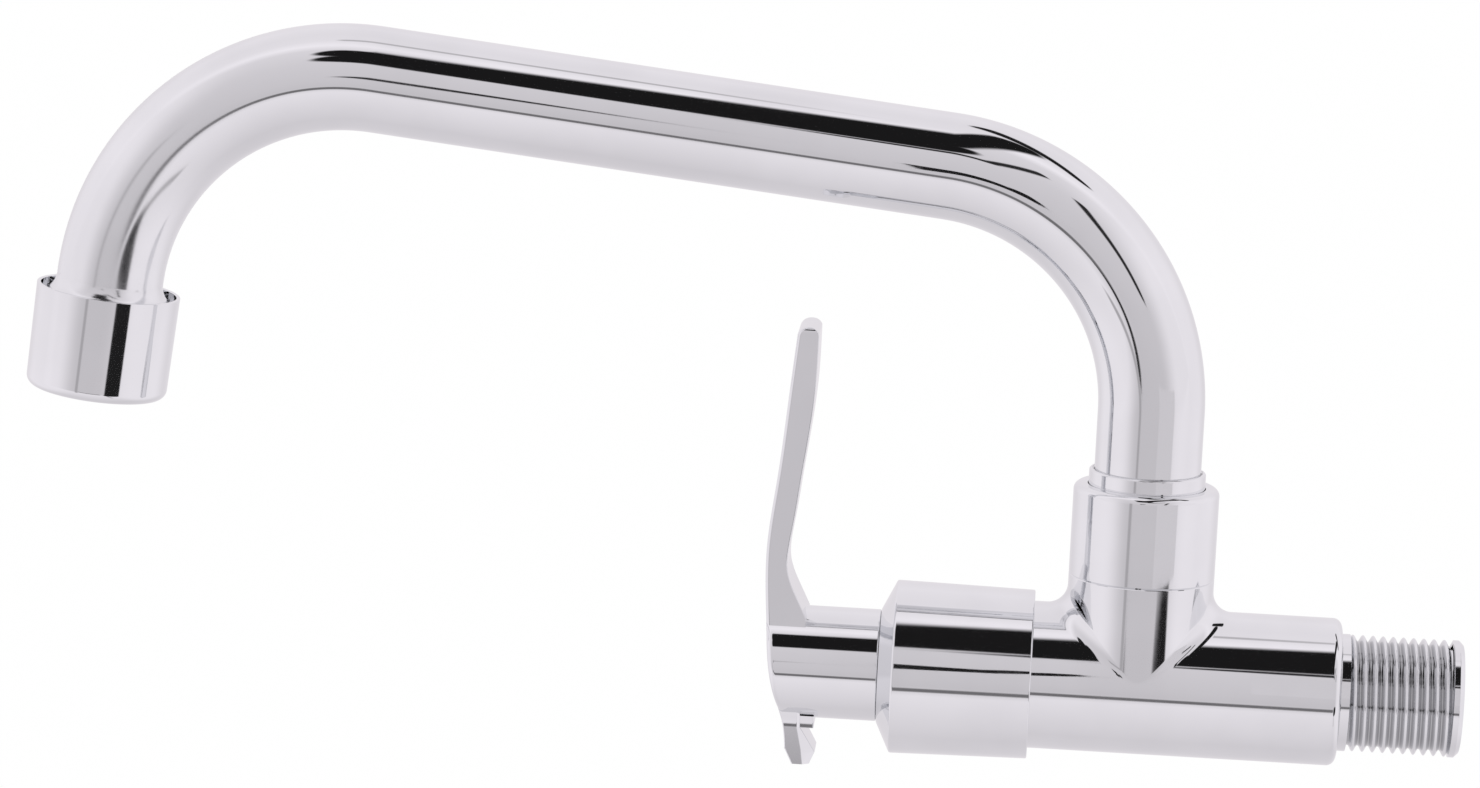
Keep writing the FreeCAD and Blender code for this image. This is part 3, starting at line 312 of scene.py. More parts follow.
def profile_runs(profile, side=None):
    """Splits a (station, radius[, round]) outline into straight and curved runs with their normals.

    Each run is a list of (station, radius, normal along, normal outwards). The outline is closed, and its
    inside is the material's, unless side says that it is open and on which side the material is not.
    """
    corners = [np.array(p[:2], float) for p in profile]
    count = len(corners)
    closed = side is None
    if closed:
        turn = sum(corners[i][0] * corners[(i + 1) % count][1] - corners[(i + 1) % count][0] * corners[i][1]
                   for i in range(count))
        side = 1.0 if turn > 0 else -1.0
    stops, curves = [], []
    for i, p in enumerate(profile):
        here, before, after = corners[i], corners[i - 1], corners[(i + 1) % count]
        if len(p) < 3 or not p[2]:
            stops.append((here, here))
            curves.append(None)
            continue
        back, ahead = unit(before - here), unit(after - here)
        half = math.acos(max(-1.0, min(1.0, float(back @ ahead)))) / 2
        reach = p[2] / math.tan(half)
        middle = here + unit(back + ahead) * (p[2] / math.sin(half))
        start, end = here + back * reach, here + ahead * reach
        bulge = -1.0 if side * (back[0] * ahead[1] - back[1] * ahead[0]) > 0 else 1.0
        first, last = unit(start - middle), unit(end - middle)
        angle = math.acos(max(-1.0, min(1.0, float(first @ last))))
        steps = max(3, int(math.degrees(angle) / 9) + 1)
        run = []
        for k in range(steps + 1):
            t = k / steps
            way = unit(first * math.sin((1 - t) * angle) + last * math.sin(t * angle))
            spot = middle + way * p[2]
            outwards = bulge * way
            run.append((spot[0], spot[1], outwards[0], outwards[1]))
        stops.append((start, end))
        curves.append(run)
    runs = []
    for i in range(count):
        if curves[i]:
            runs.append(curves[i])
        if not closed and i == count - 1:
            break
        start, end = stops[i][1], stops[(i + 1) % count][0]
        way = end - start
        far = np.linalg.norm(way)
        if far > 1e-9 and (start[1] > 1e-9 or end[1] > 1e-9):
            way = way / far
            normal = (side * way[1], -side * way[0])
            runs.append([(start[0], start[1], *normal), (end[0], end[1], *normal)])
    return runs


def turn_frame(axis):
    """Base point, direction and the two cross directions of a turning axis."""
    base, direction, zero = axis
    direction = unit(direction)
    zero = unit(zero)
    return np.array(base, float), direction, zero, np.cross(direction, zero)


def add_turned(skin, profile, axis, angles, side=None):
    """Adds a surface of revolution, from a closed outline or, with side, an open one."""
    base, direction, zero, quarter = turn_frame(axis)
    around = [math.cos(a) * zero + math.sin(a) * quarter for a in angles]
    around.append(around[0])
    for run in profile_runs(profile, side):
        points = [[base + direction * s + r * way for way in around] for s, r, _, _ in run]
        normals = [[direction * ns + nr * way for way in around] for _, _, ns, nr in run]
        skin.grid(points, normals)


def evenly(count, start=0.0):
    """Evenly spaced angles of a full turn."""
    return [start + 2 * math.pi * k / count for k in range(count)]


def turned_piece(name, profile, axis, count=120):
    """A turned piece as an object."""
    skin = Skin()
    add_turned(skin, profile, axis, evenly(count))
    return skin.finish(name)


def inlet_axis():
    """Turning axis through barrel, cap and hub. Angles start at +Z and go towards +Y."""
    return (0, 0, 0), (-1, 0, 0), (0, 0, 1)


def along_x(profile):
    """Turns (x, radius) corners into the inlet axis's stations."""
    return [(-p[0], *p[1:]) for p in profile]


def branch_axis():
    """Turning axis through branch, nut and riser."""
    return (-sizes().branch_offset, 0, 0), (0, 0, 1), (1, 0, 0)


def spout_corners():
    """The two corners of the spout's centre line, the cup's rim middle and the outlet's direction."""
    s = sizes()
    first = np.array((-s.branch_offset, 0, s.riser_corner))
    run = np.array((-math.cos(s.run_slope), 0, math.sin(s.run_slope)))
    down = np.array((-math.sin(s.outlet_tilt), 0, -math.cos(s.outlet_tilt)))
    second = first + run * s.run_length
    return first, second, second + down * s.outlet_drop, down


def outlet_axis():
    """Turning axis of the aerator, with stations downwards from the cup's rim."""
    _, _, rim, down = spout_corners()
    return rim, down, (0, 1, 0)


# ---------------------------------------------------------------- node helpers
MATH, VECTOR_MATH = "ShaderNodeMath", "ShaderNodeVectorMath"
APART, MAP_RANGE = "ShaderNodeSeparateXYZ", "ShaderNodeMapRange"
NOISE, MIX = "ShaderNodeTexNoise", "ShaderNodeMix"
SMOOTH, COLOURS = {"interpolation_type": "SMOOTHSTEP"}, {"data_type": "RGBA"}
MOST_NOISE = {"From_Min": 0.35, "From_Max": 0.65}  # nearly all of a noise's values lie in between
NOUGHT_TO_ONE = {"To_Min": 0.0, "To_Max": 1.0}


def add_node(tree, kind, settings=None, **inputs):
    """Adds a node, sets its properties and sets or links its inputs by name or number.

    Settings are a table or an operation's name. An input given as a node takes that node's first output.
    """
    node = tree.nodes.new(kind)
    if isinstance(settings, str):
        settings = {"operation": settings}
    for key, value in (settings or {}).items():
        setattr(node, key, value)
    for key, value in inputs.items():
        by_number = key[0] == "i" and key[1:].isdigit()
        socket = node.inputs[int(key[1:]) if by_number else key.replace("_", " ")]
        if isinstance(value, bpy.types.Node):
            value = value.outputs[0]
        if isinstance(value, bpy.types.NodeSocket):
            tree.links.new(value, socket)
        else:
            socket.default_value = value
    return node


def start_material(name):
    """An empty node material with its Principled shader and a texture coordinate."""
    material = bpy.data.materials.new(name)
    material.use_nodes = True
    tree = material.node_tree
    tree.nodes.clear()
    shader = tree.nodes.new("ShaderNodeBsdfPrincipled")
    output = tree.nodes.new("ShaderNodeOutputMaterial")
    tree.links.new(shader.outputs["BSDF"], output.inputs["Surface"])
    place = tree.nodes.new("ShaderNodeTexCoord")
    return material, tree, shader, place.outputs["Object"]


def noise_scale(size_mm):
    """Scale of a noise whose blobs are about so many millimetres across."""
    return 1.0 / (size_mm * MM)


def tinted(rgb, factor):
    """A colour a little lighter or darker."""
    return (*(min(1.0, c * factor) for c in rgb), 1.0)


# ---------------------------------------------------------------- finishes
def bright_chrome(name="bright_chrome_plate", soft_from=None):
    """Decorative chrome over nickel on buffed brass, electroplated.

    The eye sees a mirror with a faintly cool tint; buffing leaves patches a few centimetres wide that are
    a touch softer, and hair-fine haze that only shows as a slightly uneven gloss. The tube's outlet bend,
    from the X given by soft_from on, is buffed by hand after bending and is duller.
    """
    rgb = bpy.context.scene.tap_finishes.chrome
    material, tree, shader, place = start_material(name)
    shader.inputs["Metallic"].default_value = 1.0
    buffed = add_node(tree, NOISE, Vector=place, Scale=noise_scale(18.0), Detail=3.0)
    haze = add_node(tree, NOISE, Vector=place, Scale=noise_scale(0.9), Detail=2.0)
    uneven = add_node(tree, MATH, "MULTIPLY_ADD", i0=haze, i1=0.35, i2=buffed)
    gloss = add_node(tree, MAP_RANGE, SMOOTH, Value=uneven, From_Min=0.45, From_Max=0.85,
                     To_Min=0.028, To_Max=0.06)
    if soft_from is not None:
        duller = add_node(tree, MAP_RANGE, SMOOTH, Value=add_node(tree, APART, Vector=place),
                          From_Min=soft_from, From_Max=soft_from - 34.0 * MM, To_Min=0.0, To_Max=0.1)
        gloss = add_node(tree, MATH, "ADD", i0=gloss, i1=duller)
    tree.links.new(gloss.outputs[0], shader.inputs["Roughness"])
    patches = add_node(tree, MAP_RANGE, SMOOTH, Value=buffed, **MOST_NOISE, **NOUGHT_TO_ONE)
    tones = add_node(tree, MIX, COLOURS, i0=patches, i6=(*rgb, 1.0), i7=tinted(rgb, 0.965))
    tree.links.new(tones.outputs[2], shader.inputs["Base Color"])
    return material


def painted_root_shade(tree, place):
    """Share of the painted shade by the thread's depth: 0 on the crests, 1 in the roots."""
    apart = add_node(tree, APART, Vector=place).outputs
    across = add_node(tree, MATH, "MULTIPLY", i0=apart["Y"], i1=apart["Y"])
    square = add_node(tree, MATH, "MULTIPLY_ADD", i0=apart["Z"], i1=apart["Z"], i2=across)
    return add_node(tree, MAP_RANGE, Value=add_node(tree, MATH, "SQRT", i0=square),
                    From_Min=sizes().thread_radius, From_Max=sizes().thread_root, **NOUGHT_TO_ONE)


def grained(name, paint, grain, gloss, tint, ior=None, cloud=None, shade=None, relief=None):
    """A finish whose gloss, colour and relief vary with the grain that its making leaves.

    grain is a noise as (millimetres across, detail, stretch), gloss the roughness range, tint the lightness
    of the second colour, cloud the size of a second noise for the colours, shade a function that sets them
    instead, and relief the grain's depth in millimetres and its strength. Without an ior it is a metal.
    """
    rgb = getattr(bpy.context.scene.tap_finishes, paint)
    material, tree, shader, place = start_material(name)
    if ior:
        shader.inputs["IOR"].default_value = ior
    else:
        shader.inputs["Metallic"].default_value = 1.0
    size, detail, stretch = grain
    drawn = add_node(tree, "ShaderNodeMapping", Vector=place, Scale=stretch) if stretch else place
    marks = add_node(tree, NOISE, Vector=drawn, Scale=noise_scale(size), Detail=detail)
    dull = add_node(tree, MAP_RANGE, SMOOTH, Value=marks, **MOST_NOISE, To_Min=gloss[0], To_Max=gloss[1])
    tree.links.new(dull.outputs[0], shader.inputs["Roughness"])
    if shade:
        share = shade(tree, place)
    else:
        tone = add_node(tree, NOISE, Vector=place, Scale=noise_scale(cloud), Detail=2.0) if cloud else marks
        share = add_node(tree, MAP_RANGE, SMOOTH, Value=tone, **MOST_NOISE, **NOUGHT_TO_ONE)
    tones = add_node(tree, MIX, COLOURS, i0=share, i6=(*rgb, 1.0), i7=tinted(rgb, tint))
    tree.links.new(tones.outputs[2], shader.inputs["Base Color"])
    if relief:
        raised = add_node(tree, "ShaderNodeBump", Height=marks, Distance=relief[0] * MM, Strength=relief[1])
        tree.links.new(raised.outputs["Normal"], shader.inputs["Normal"])
    return material


# every finish but bright chrome: (name, colour, grain, gloss, tint) and the rest by name
GRAINED = {
    # chrome over a cut brass thread: the same plate, with painted shade darkening its colour down in the
    # roots
    "threaded_chrome": (
        ("chrome_over_cut_thread", "chrome", (0.5, 2.0, (1.0, 0.25, 0.25)), (0.03, 0.08), 0.62),
        {"shade": painted_root_shade, "relief": (0.012, 0.35)}),
    # free-cutting brass, turned on a lathe: warm yellow with fine rings round the axis
    "turned_brass": (("turned_brass", "brass", (0.35, 2.0, (1.0, 0.04, 0.04)), (0.2, 0.34), 0.82),
                     {"cloud": 6.0, "relief": (0.01, 0.3)}),
    # black nitrile rubber, compression moulded: nearly black, dull, with a faint bloom
    "sealing_rubber": (("moulded_black_rubber", "rubber", (1.5, 4.0, None), (0.55, 0.75), 1.8),
                       {"ior": 1.52, "relief": (0.01, 0.2)}),
    # alumina ceramic, pressed, fired and lapped: warm white and satin
    "lapped_ceramic": (("lapped_alumina_ceramic", "ceramic", (0.4, 3.0, None), (0.18, 0.3), 0.94),
                       {"ior": 1.76}),
    # stainless steel, drawn and tumbled: neutral grey with fine drawing lines
    "stainless_steel": (("drawn_stainless_steel", "steel", (0.25, 2.0, (0.08, 1.0, 1.0)), (0.22, 0.4), 0.88),
                        {"relief": (0.006, 0.3)}),
    # acetal, injection moulded: waxy and even, with a soft spark-eroded grain
    "white_acetal": (("white_acetal", "white_plastic", (0.3, 2.0, None), (0.36, 0.5), 0.95),
                     {"ior": 1.48, "cloud": 5.0, "relief": (0.008, 0.25)}),
    "grey_acetal": (("grey_acetal", "grey_plastic", (0.3, 2.0, None), (0.36, 0.5), 0.95),
                    {"ior": 1.48, "cloud": 5.0, "relief": (0.008, 0.25)}),
}
SOFT_FROM = -186.0 * MM  # where the tube's outlet bend starts to be duller
MADE = {}


def finish_named(name):
    """The finish of that name, made once."""
    if name not in MADE:
        if name == "bright_chrome":
            MADE[name] = bright_chrome()
        elif name == "tube_chrome":
            MADE[name] = bright_chrome("bright_chrome_tube", SOFT_FROM)
        else:
            given, more = GRAINED[name]
            MADE[name] = grained(*given, **more)
    return MADE[name]


# ---------------------------------------------------------------- geometry node trees
def start_tree(name, inputs):
    """A geometry node tree with named inputs after its geometry; returns the tree, inputs and output."""
    tree = bpy.data.node_groups.new(name, "GeometryNodeTree")
    tree.interface.new_socket("Geometry", in_out="INPUT", socket_type="NodeSocketGeometry")
    for label, kind in inputs:
        tree.interface.new_socket(label, in_out="INPUT", socket_type=kind)
    tree.interface.new_socket("Geometry", in_out="OUTPUT", socket_type="NodeSocketGeometry")
    given = tree.nodes.new("NodeGroupInput")
    result = tree.nodes.new("NodeGroupOutput")
    return tree, given, result


def run_tree(base, tree, values):
    """Runs a tree on an object and returns the result as a plain mesh."""
    modifier = base.modifiers.new(tree.name, "NODES")
    modifier.node_group = tree
    sockets = {item.name: item.identifier for item in tree.interface.items_tree if item.in_out == "INPUT"}
    for label, value in values.items():
        modifier[sockets[label]] = value
    graph = bpy.context.evaluated_depsgraph_get()
    mesh = bpy.data.meshes.new_from_object(
        base.evaluated_get(graph), preserve_all_data_layers=True, depsgraph=graph)
    base.modifiers.remove(modifier)
    return mesh


def thread_tree():
    """Right-hand thread ridge: a sheet laid on the helix, its radius following a rounded profile."""
    tree, given, result = start_tree("thread_ridge", (
        ("Start", "NodeSocketFloat"), ("Pitch", "NodeSocketFloat"), ("Turns", "NodeSocketInt"),
        ("Crest Radius", "NodeSocketFloat"), ("Root Radius", "NodeSocketFloat"),
        ("Steps Per Pitch", "NodeSocketInt"), ("Steps Round", "NodeSocketInt"),
        ("Material", "NodeSocketMaterial")))
    value = given.outputs
    columns = add_node(tree, MATH, "MULTIPLY_ADD", i0=value["Turns"], i1=value["Steps Per Pitch"], i2=1.0)
    rows = add_node(tree, MATH, "ADD", i0=value["Steps Round"], i1=1.0)
    sheet = add_node(tree, "GeometryNodeMeshGrid", Size_X=1.0, Size_Y=1.0, Vertices_X=columns,
                     Vertices_Y=rows)
    spot = add_node(tree, APART, Vector=add_node(tree, "GeometryNodeInputPosition")).outputs
    share = add_node(tree, MATH, "ADD", i0=spot["X"], i1=0.5)
    along = add_node(tree, MATH, "MULTIPLY", i0=share, i1=value["Turns"])
    around = add_node(tree, MATH, "ADD", i0=spot["Y"], i1=0.5)
    pitches = add_node(tree, MATH, "ADD", i0=along, i1=around)
    x = add_node(tree, MATH, "MULTIPLY_ADD", i0=pitches, i1=value["Pitch"], i2=value["Start"])
    # the nudge keeps whole pitches from falling just short of one
    phase = add_node(tree, MATH, "FRACT", i0=add_node(tree, MATH, "ADD", i0=along, i1=0.0005))
    off = add_node(tree, MATH, "ABSOLUTE", i0=add_node(tree, MATH, "SUBTRACT", i0=phase, i1=0.5))
    from_crest = add_node(tree, MATH, "MULTIPLY", i0=off, i1=value["Pitch"])
    # flanks of 27.5 degrees, blended into crest and root by a smooth minimum and maximum
    quarter = add_node(tree, MATH, "MULTIPLY", i0=value["Pitch"], i1=0.25)
    both = add_node(tree, MATH, "ADD", i0=value["Crest Radius"], i1=value["Root Radius"])
    middle = add_node(tree, MATH, "MULTIPLY", i0=both, i1=0.5)
    past = add_node(tree, MATH, "SUBTRACT", i0=quarter, i1=from_crest)
    flank = add_node(tree, MATH, "MULTIPLY_ADD", i0=past, i1=1.0 / math.tan(FLANK_ANGLE), i2=middle)
    topped = add_node(tree, MATH, "SMOOTH_MIN", i0=flank, i1=value["Crest Radius"], i2=CREST_BLEND)
    radius = add_node(tree, MATH, "SMOOTH_MAX", i0=topped, i1=value["Root Radius"], i2=ROOT_BLEND)
    angle = add_node(tree, MATH, "MULTIPLY", i0=around, i1=-2 * math.pi)
    y = add_node(tree, MATH, "MULTIPLY", i0=radius, i1=add_node(tree, MATH, "SINE", i0=angle))
    z = add_node(tree, MATH, "MULTIPLY", i0=radius, i1=add_node(tree, MATH, "COSINE", i0=angle))
    place = add_node(tree, "ShaderNodeCombineXYZ", X=x, Y=y, Z=z)
    laid = add_node(tree, "GeometryNodeSetPosition", Geometry=sheet, Position=place)
    joined = add_node(tree, "GeometryNodeMergeByDistance", Geometry=laid, Distance=1e-6)
    smooth = add_node(tree, "GeometryNodeSetShadeSmooth", Geometry=joined)
    real = add_node(tree, "GeometryNodeRealizeInstances", Geometry=smooth)
    dressed = add_node(tree, "GeometryNodeSetMaterial", Geometry=real, Material=value["Material"])
    tree.links.new(dressed.outputs["Geometry"], result.inputs["Geometry"])
    return tree


def pipe_tree():
    """Round tube along a bent line: the two corners are filleted with their own radius, then swept."""
    tree, given, result = start_tree("bent_tube", (
        ("Wall Bend", "NodeSocketFloat"), ("Outlet Bend", "NodeSocketFloat"), ("Bend Steps", "NodeSocketInt"),
        ("Radius", "NodeSocketFloat"), ("Sides", "NodeSocketInt"), ("Material", "NodeSocketMaterial")))
    value = given.outputs
    here = add_node(tree, "GeometryNodeInputIndex")
    is_outlet = add_node(tree, MATH, "GREATER_THAN", i0=here, i1=1.5)
    radius = add_node(tree, MIX, {"data_type": "FLOAT"}, i0=is_outlet, i2=value["Wall Bend"],
                      i3=value["Outlet Bend"])
    line = add_node(tree, "GeometryNodeMeshToCurve", Mesh=value["Geometry"])
    bent = add_node(tree, "GeometryNodeFilletCurve", {"mode": "POLY"}, Curve=line, Count=value["Bend Steps"],
                    Radius=radius)
    ring = add_node(tree, "GeometryNodeCurvePrimitiveCircle", Resolution=value["Sides"],
                    Radius=value["Radius"])
    swept = add_node(tree, "GeometryNodeCurveToMesh", Curve=bent, Profile_Curve=ring)
    real = add_node(tree, "GeometryNodeRealizeInstances", Geometry=swept)
    dressed = add_node(tree, "GeometryNodeSetMaterial", Geometry=real, Material=value["Material"])
    tree.links.new(dressed.outputs["Geometry"], result.inputs["Geometry"])
    return tree


# ---------------------------------------------------------------- tee body
def tee_angles():
    """Rays round the branch that fill the barrel's patch, as (angle, x share, turn about the barrel).

    The patch is a rectangle on the barrel's unrolled surface. Its two ends get evenly spaced turns, so
    that they meet the turned ends of the barrel point by point.
    """
    ends, sides = 84, 48
    rays = []
    for k in range(ends // 2, ends):
        rays.append((1.0, -math.pi + 2 * math.pi * k / ends))
    for k in range(sides):
        rays.append((1.0 - k / sides, math.pi))
    for k in range(ends):
        rays.append((0.0, math.pi - 2 * math.pi * k / ends))
    for k in range(sides):
        rays.append((k / sides, -math.pi))
    for k in range(ends // 2):
        rays.append((1.0, -math.pi + 2 * math.pi * k / ends))
    count = len(rays)
    return [(2 * math.pi * k / count, *ray) for k, ray in enumerate(rays)], ends


def add_tee_corner(skin):
    """Adds the barrel's patch, the rolled fillet and the branch's wall, all with exact normals."""
    s = sizes()
    rays, ends = tee_angles()
    barrel, branch, roll = s.barrel_radius, s.branch_radius, s.branch_fillet
    axis_x = -s.branch_offset
    low_x, high_x = PATCH_CAP_END, PATCH_WALL_END
    top, base = s.branch_height - s.seam, np.array((axis_x, 0, 0))
    patch, patch_normals = [], []
    fillet, fillet_normals = [], []
    wall, wall_normals = [], []
    for theta, share, turn in rays + rays[:1]:
        ball = np.array((
            (branch + roll) * math.cos(theta), (branch + roll) * math.sin(theta),
            math.sqrt((barrel + roll) ** 2 - ((branch + roll) * math.sin(theta)) ** 2)))
        low = np.array((ball[0], ball[1] * barrel / (barrel + roll), ball[2] * barrel / (barrel + roll)))
        side = np.array((math.cos(theta), math.sin(theta), 0.0))
        high = np.array((branch * side[0], branch * side[1], ball[2]))
        hole_turn = math.atan2(low[1], low[2])
        far_x = low_x + (high_x - low_x) * share
        hole_x = axis_x + low[0]
        column, column_normals = [], []
        steps = 30
        for k in range(steps + 1):
            t = k / steps
            x = hole_x + (far_x - hole_x) * t
            about = hole_turn + (turn - hole_turn) * t
            out = np.array((0.0, math.sin(about), math.cos(about)))
            column.append(np.array((x, 0, 0)) + barrel * out)
            column_normals.append(out)
        patch.append(column)
        patch_normals.append(column_normals)
        first, last = unit(low - ball), unit(high - ball)
        angle = math.acos(max(-1.0, min(1.0, float(first @ last))))
        column, column_normals = [], []
        for k in range(13):
            t = k / 12
            way = unit(first * math.sin((1 - t) * angle) + last * math.sin(t * angle))
            column.append(base + ball + roll * way)
            column_normals.append(-way)
        fillet.append(column)
        fillet_normals.append(column_normals)
        wall.append([base + high, base + np.array((high[0], high[1], top))])
        wall_normals.append([side, side])
    skin.grid(patch, patch_normals)
    skin.grid(fillet, fillet_normals)
    skin.grid(wall, wall_normals)
    return [theta for theta, _, _ in rays], ends


def tee_inlet_profile():
    """Shoulder, bands, thread core, chamfer and the inlet's waterway, outwards of the patch's wall end."""
    s = sizes()
    major, end = s.thread_radius, s.thread_length
    root = s.thread_root - 0.2 * MM
    return [
        (PATCH_WALL_END, s.barrel_radius), (0, s.barrel_radius, s.shoulder_round), (0, major),
        (s.neck_band, major), (s.neck_band + BAND_SLOPE, root),
        (end - s.end_band - BAND_SLOPE, root), (end - s.end_band, major),
        (end - s.end_chamfer, major, SMALL_EDGE), (end, major - s.end_chamfer, SMALL_EDGE),
        (end, s.inlet_bore, SMALL_EDGE), (BORED_FROM, s.inlet_bore),
    ]


def tee_mouth_profile():
    """Inside of the barrel from the seat to its mouth, and the mouth's outside up to the patch."""
    s = sizes()
    mouth = -s.barrel_length
    return [
        (BORED_FROM, s.inlet_bore), (BORED_FROM, SEAT_RADIUS), (SEAT_END, SEAT_RADIUS),
        (SEAT_END, CHAMBER_RADIUS), (CHAMBER_END, CHAMBER_RADIUS), (CHAMBER_END, HEADWORK_RADIUS),
        (RECESS_START, HEADWORK_RADIUS), (RECESS_START, RECESS_RADIUS), (mouth, RECESS_RADIUS),
        (mouth, s.barrel_radius, SMALL_EDGE), (PATCH_CAP_END, s.barrel_radius),
    ]


def build_tee_body():
    """The plated brass casting with its thread core, as one closed skin."""
    s = sizes()
    skin = Skin()
    thetas, ends = add_tee_corner(skin)
    add_turned(skin, along_x(tee_inlet_profile()), inlet_axis(), evenly(ends), 1.0)
    add_turned(skin, along_x(tee_mouth_profile()), inlet_axis(), evenly(ends), 1.0)
    top = s.branch_height
    add_turned(skin, [
        (top - s.seam, s.branch_radius), (top, s.branch_radius - s.seam), (top, NECK_RADIUS),
        (NECK_TOP, NECK_RADIUS, SMALL_EDGE), (NECK_TOP, SPIGOT_BORE), (SPIGOT_FLOOR, SPIGOT_BORE),
        (SPIGOT_FLOOR, 0),
    ], branch_axis(), thetas, -1.0)
    return skin.finish("tee_body_plated")


def build_thread():
    """The ridge of the inlet thread, between the plain bands."""
    s = sizes()
    base = link(bpy.data.objects.new("inlet_thread_ridge", bpy.data.meshes.new("inlet_thread_base")))
    turns = int(round((s.thread_length - s.end_band - s.neck_band) / s.thread_pitch)) + 1
    tree = thread_tree()
    mesh = run_tree(base, tree, {
        "Start": s.neck_band - s.thread_pitch * 1.2, "Pitch": s.thread_pitch, "Turns": turns,
        "Crest Radius": s.thread_radius - 0.03 * MM, "Root Radius": s.thread_root,
        "Steps Per Pitch": 18, "Steps Round": 108, "Material": finish_named("threaded_chrome")})
    base.data = mesh
    bpy.data.node_groups.remove(tree)
    return base


# ---------------------------------------------------------------- spout
def build_pipe():
    """The bent tube, swept by its node tree and closed to a wall of the tube's thickness."""
    s = sizes()
    first, second, rim, down = spout_corners()
    start = np.array((-s.branch_offset, 0, FLANGE_TOP))
    end = rim + down * PIPE_END
    line = bpy.data.meshes.new("spout_line")
    line.from_pydata([tuple(p) for p in (start, first, second, end)], [(0, 1), (1, 2), (2, 3)], [])
    base = link(bpy.data.objects.new("spout_line", line))
    tree = pipe_tree()
    sides, steps = 112, 72
    swept = run_tree(base, tree, {
        "Wall Bend": s.wall_bend, "Outlet Bend": s.outlet_bend, "Bend Steps": steps,
        "Radius": s.pipe_radius, "Sides": sides, "Material": finish_named("tube_chrome")})
    spots = np.array([v.co for v in swept.vertices], float).reshape(-1, sides, 3)
    middles = spots.mean(axis=1, keepdims=True)
    outwards = spots - middles
    outwards /= np.linalg.norm(outwards, axis=2, keepdims=True)
    bore = middles + outwards * (s.pipe_radius - s.pipe_wall)
    skin = Skin()
    close = lambda rows: np.concatenate([rows, rows[:, :1]], axis=1)
    skin.grid(close(spots), close(outwards))
    skin.grid(close(bore), close(-outwards))
    for i, way in ((0, spots[0].mean(axis=0) - spots[1].mean(axis=0)),
                   (-1, spots[-1].mean(axis=0) - spots[-2].mean(axis=0))):
        face = np.array([close(bore)[i], close(spots)[i]])
        skin.grid(face, np.broadcast_to(unit(way), face.shape))
    bpy.data.objects.remove(base)
    bpy.data.node_groups.remove(tree)
    return skin.finish("spout_tube")


def nut_profile():
    """Collar nut: outside, rounded top edge and the passage round the tail bush."""
    s, p = sizes(), places()
    return [
        (s.branch_height, NECK_RADIUS + PLAY), (s.branch_height, s.branch_radius - s.seam),
        (s.branch_height + s.seam, s.branch_radius), (p["nut_top_z"], s.branch_radius, s.nut_round),
        (p["nut_top_z"], s.socket_radius + NUT_ROOM, SMALL_EDGE), (NUT_LEDGE, s.socket_radius + NUT_ROOM),
        (NUT_LEDGE, NECK_RADIUS + PLAY),
    ]


def bush_profile():
    """The part of the tail bush that shows: the socket round the pipe, with its flange below."""
    s, p = sizes(), places()
    pipe = s.pipe_radius + PLAY
    return [
        (FLANGE_LOW, pipe), (FLANGE_LOW, FLANGE_RADIUS), (FLANGE_TOP, FLANGE_RADIUS),
        (FLANGE_TOP, s.socket_radius),
        (p["socket_top_z"], s.socket_radius, 0.4 * MM), (p["socket_top_z"], pipe, SMALL_EDGE),
    ]


def ferrule_profile():
    """Flared end of the tube that shows inside the cup's rim."""
    s = sizes()
    pipe = s.pipe_radius + PLAY
    return [
        (-2.4 * MM, s.pipe_radius - HIDDEN), (-0.6 * MM, s.pipe_radius - HIDDEN, 3.6 * MM),
        (0.8 * MM, s.flare_radius, 1.2 * MM), (2.6 * MM, s.flare_radius), (2.9 * MM, OUTLET_THREAD),
        (OUTLET_END, OUTLET_THREAD, 0.4 * MM),
        (OUTLET_END, OUTLET_BORE), (PIPE_END, OUTLET_BORE), (PIPE_END, pipe),
    ]


def cup_profile():
    """Aerator cup: thin open rim, gently tapering wall, rounded lower edge and lip."""
    s = sizes()
    inner = s.cup_radius - 0.7 * MM
    return [
        (0, inner, SMALL_EDGE), (0, s.cup_radius, SMALL_EDGE), (s.cup_length, s.cup_mouth, s.cup_round),
        (s.cup_length, CUP_LIP, 0.3 * MM), (CUP_LIP_TOP, CUP_LIP), (CUP_LIP_TOP, CUP_POCKET),
        (CUP_SCREW_END, CUP_POCKET), (CUP_SCREW_END, CUP_SCREW), (CUP_GROOVE, CUP_SCREW), (CUP_GROOVE, inner),
    ]


def cap_profile():
    """Trim cap: mouth over the barrel, gently widening sleeve, rounded corner and cone."""
    s, p = sizes(), places()
    hollow = s.barrel_radius + NUT_ROOM
    return along_x([
        (p["cap_mouth_x"], hollow, SMALL_EDGE), (p["cap_mouth_x"], s.cap_mouth, 0.3 * MM),
        (p["cap_corner_x"], s.cap_radius, 0.5 * MM), (p["cap_front_x"], s.hub_radius + 0.2 * MM, SMALL_EDGE),
        (p["cap_front_x"], CAP_BORE), (p["cap_corner_x"], CAP_BORE), (p["cap_corner_x"], CAP_STEP),
        (p["cap_corner_x"] + CAP_STEP_DEPTH, CAP_STEP), (p["cap_corner_x"] + CAP_STEP_DEPTH, hollow),
    ])


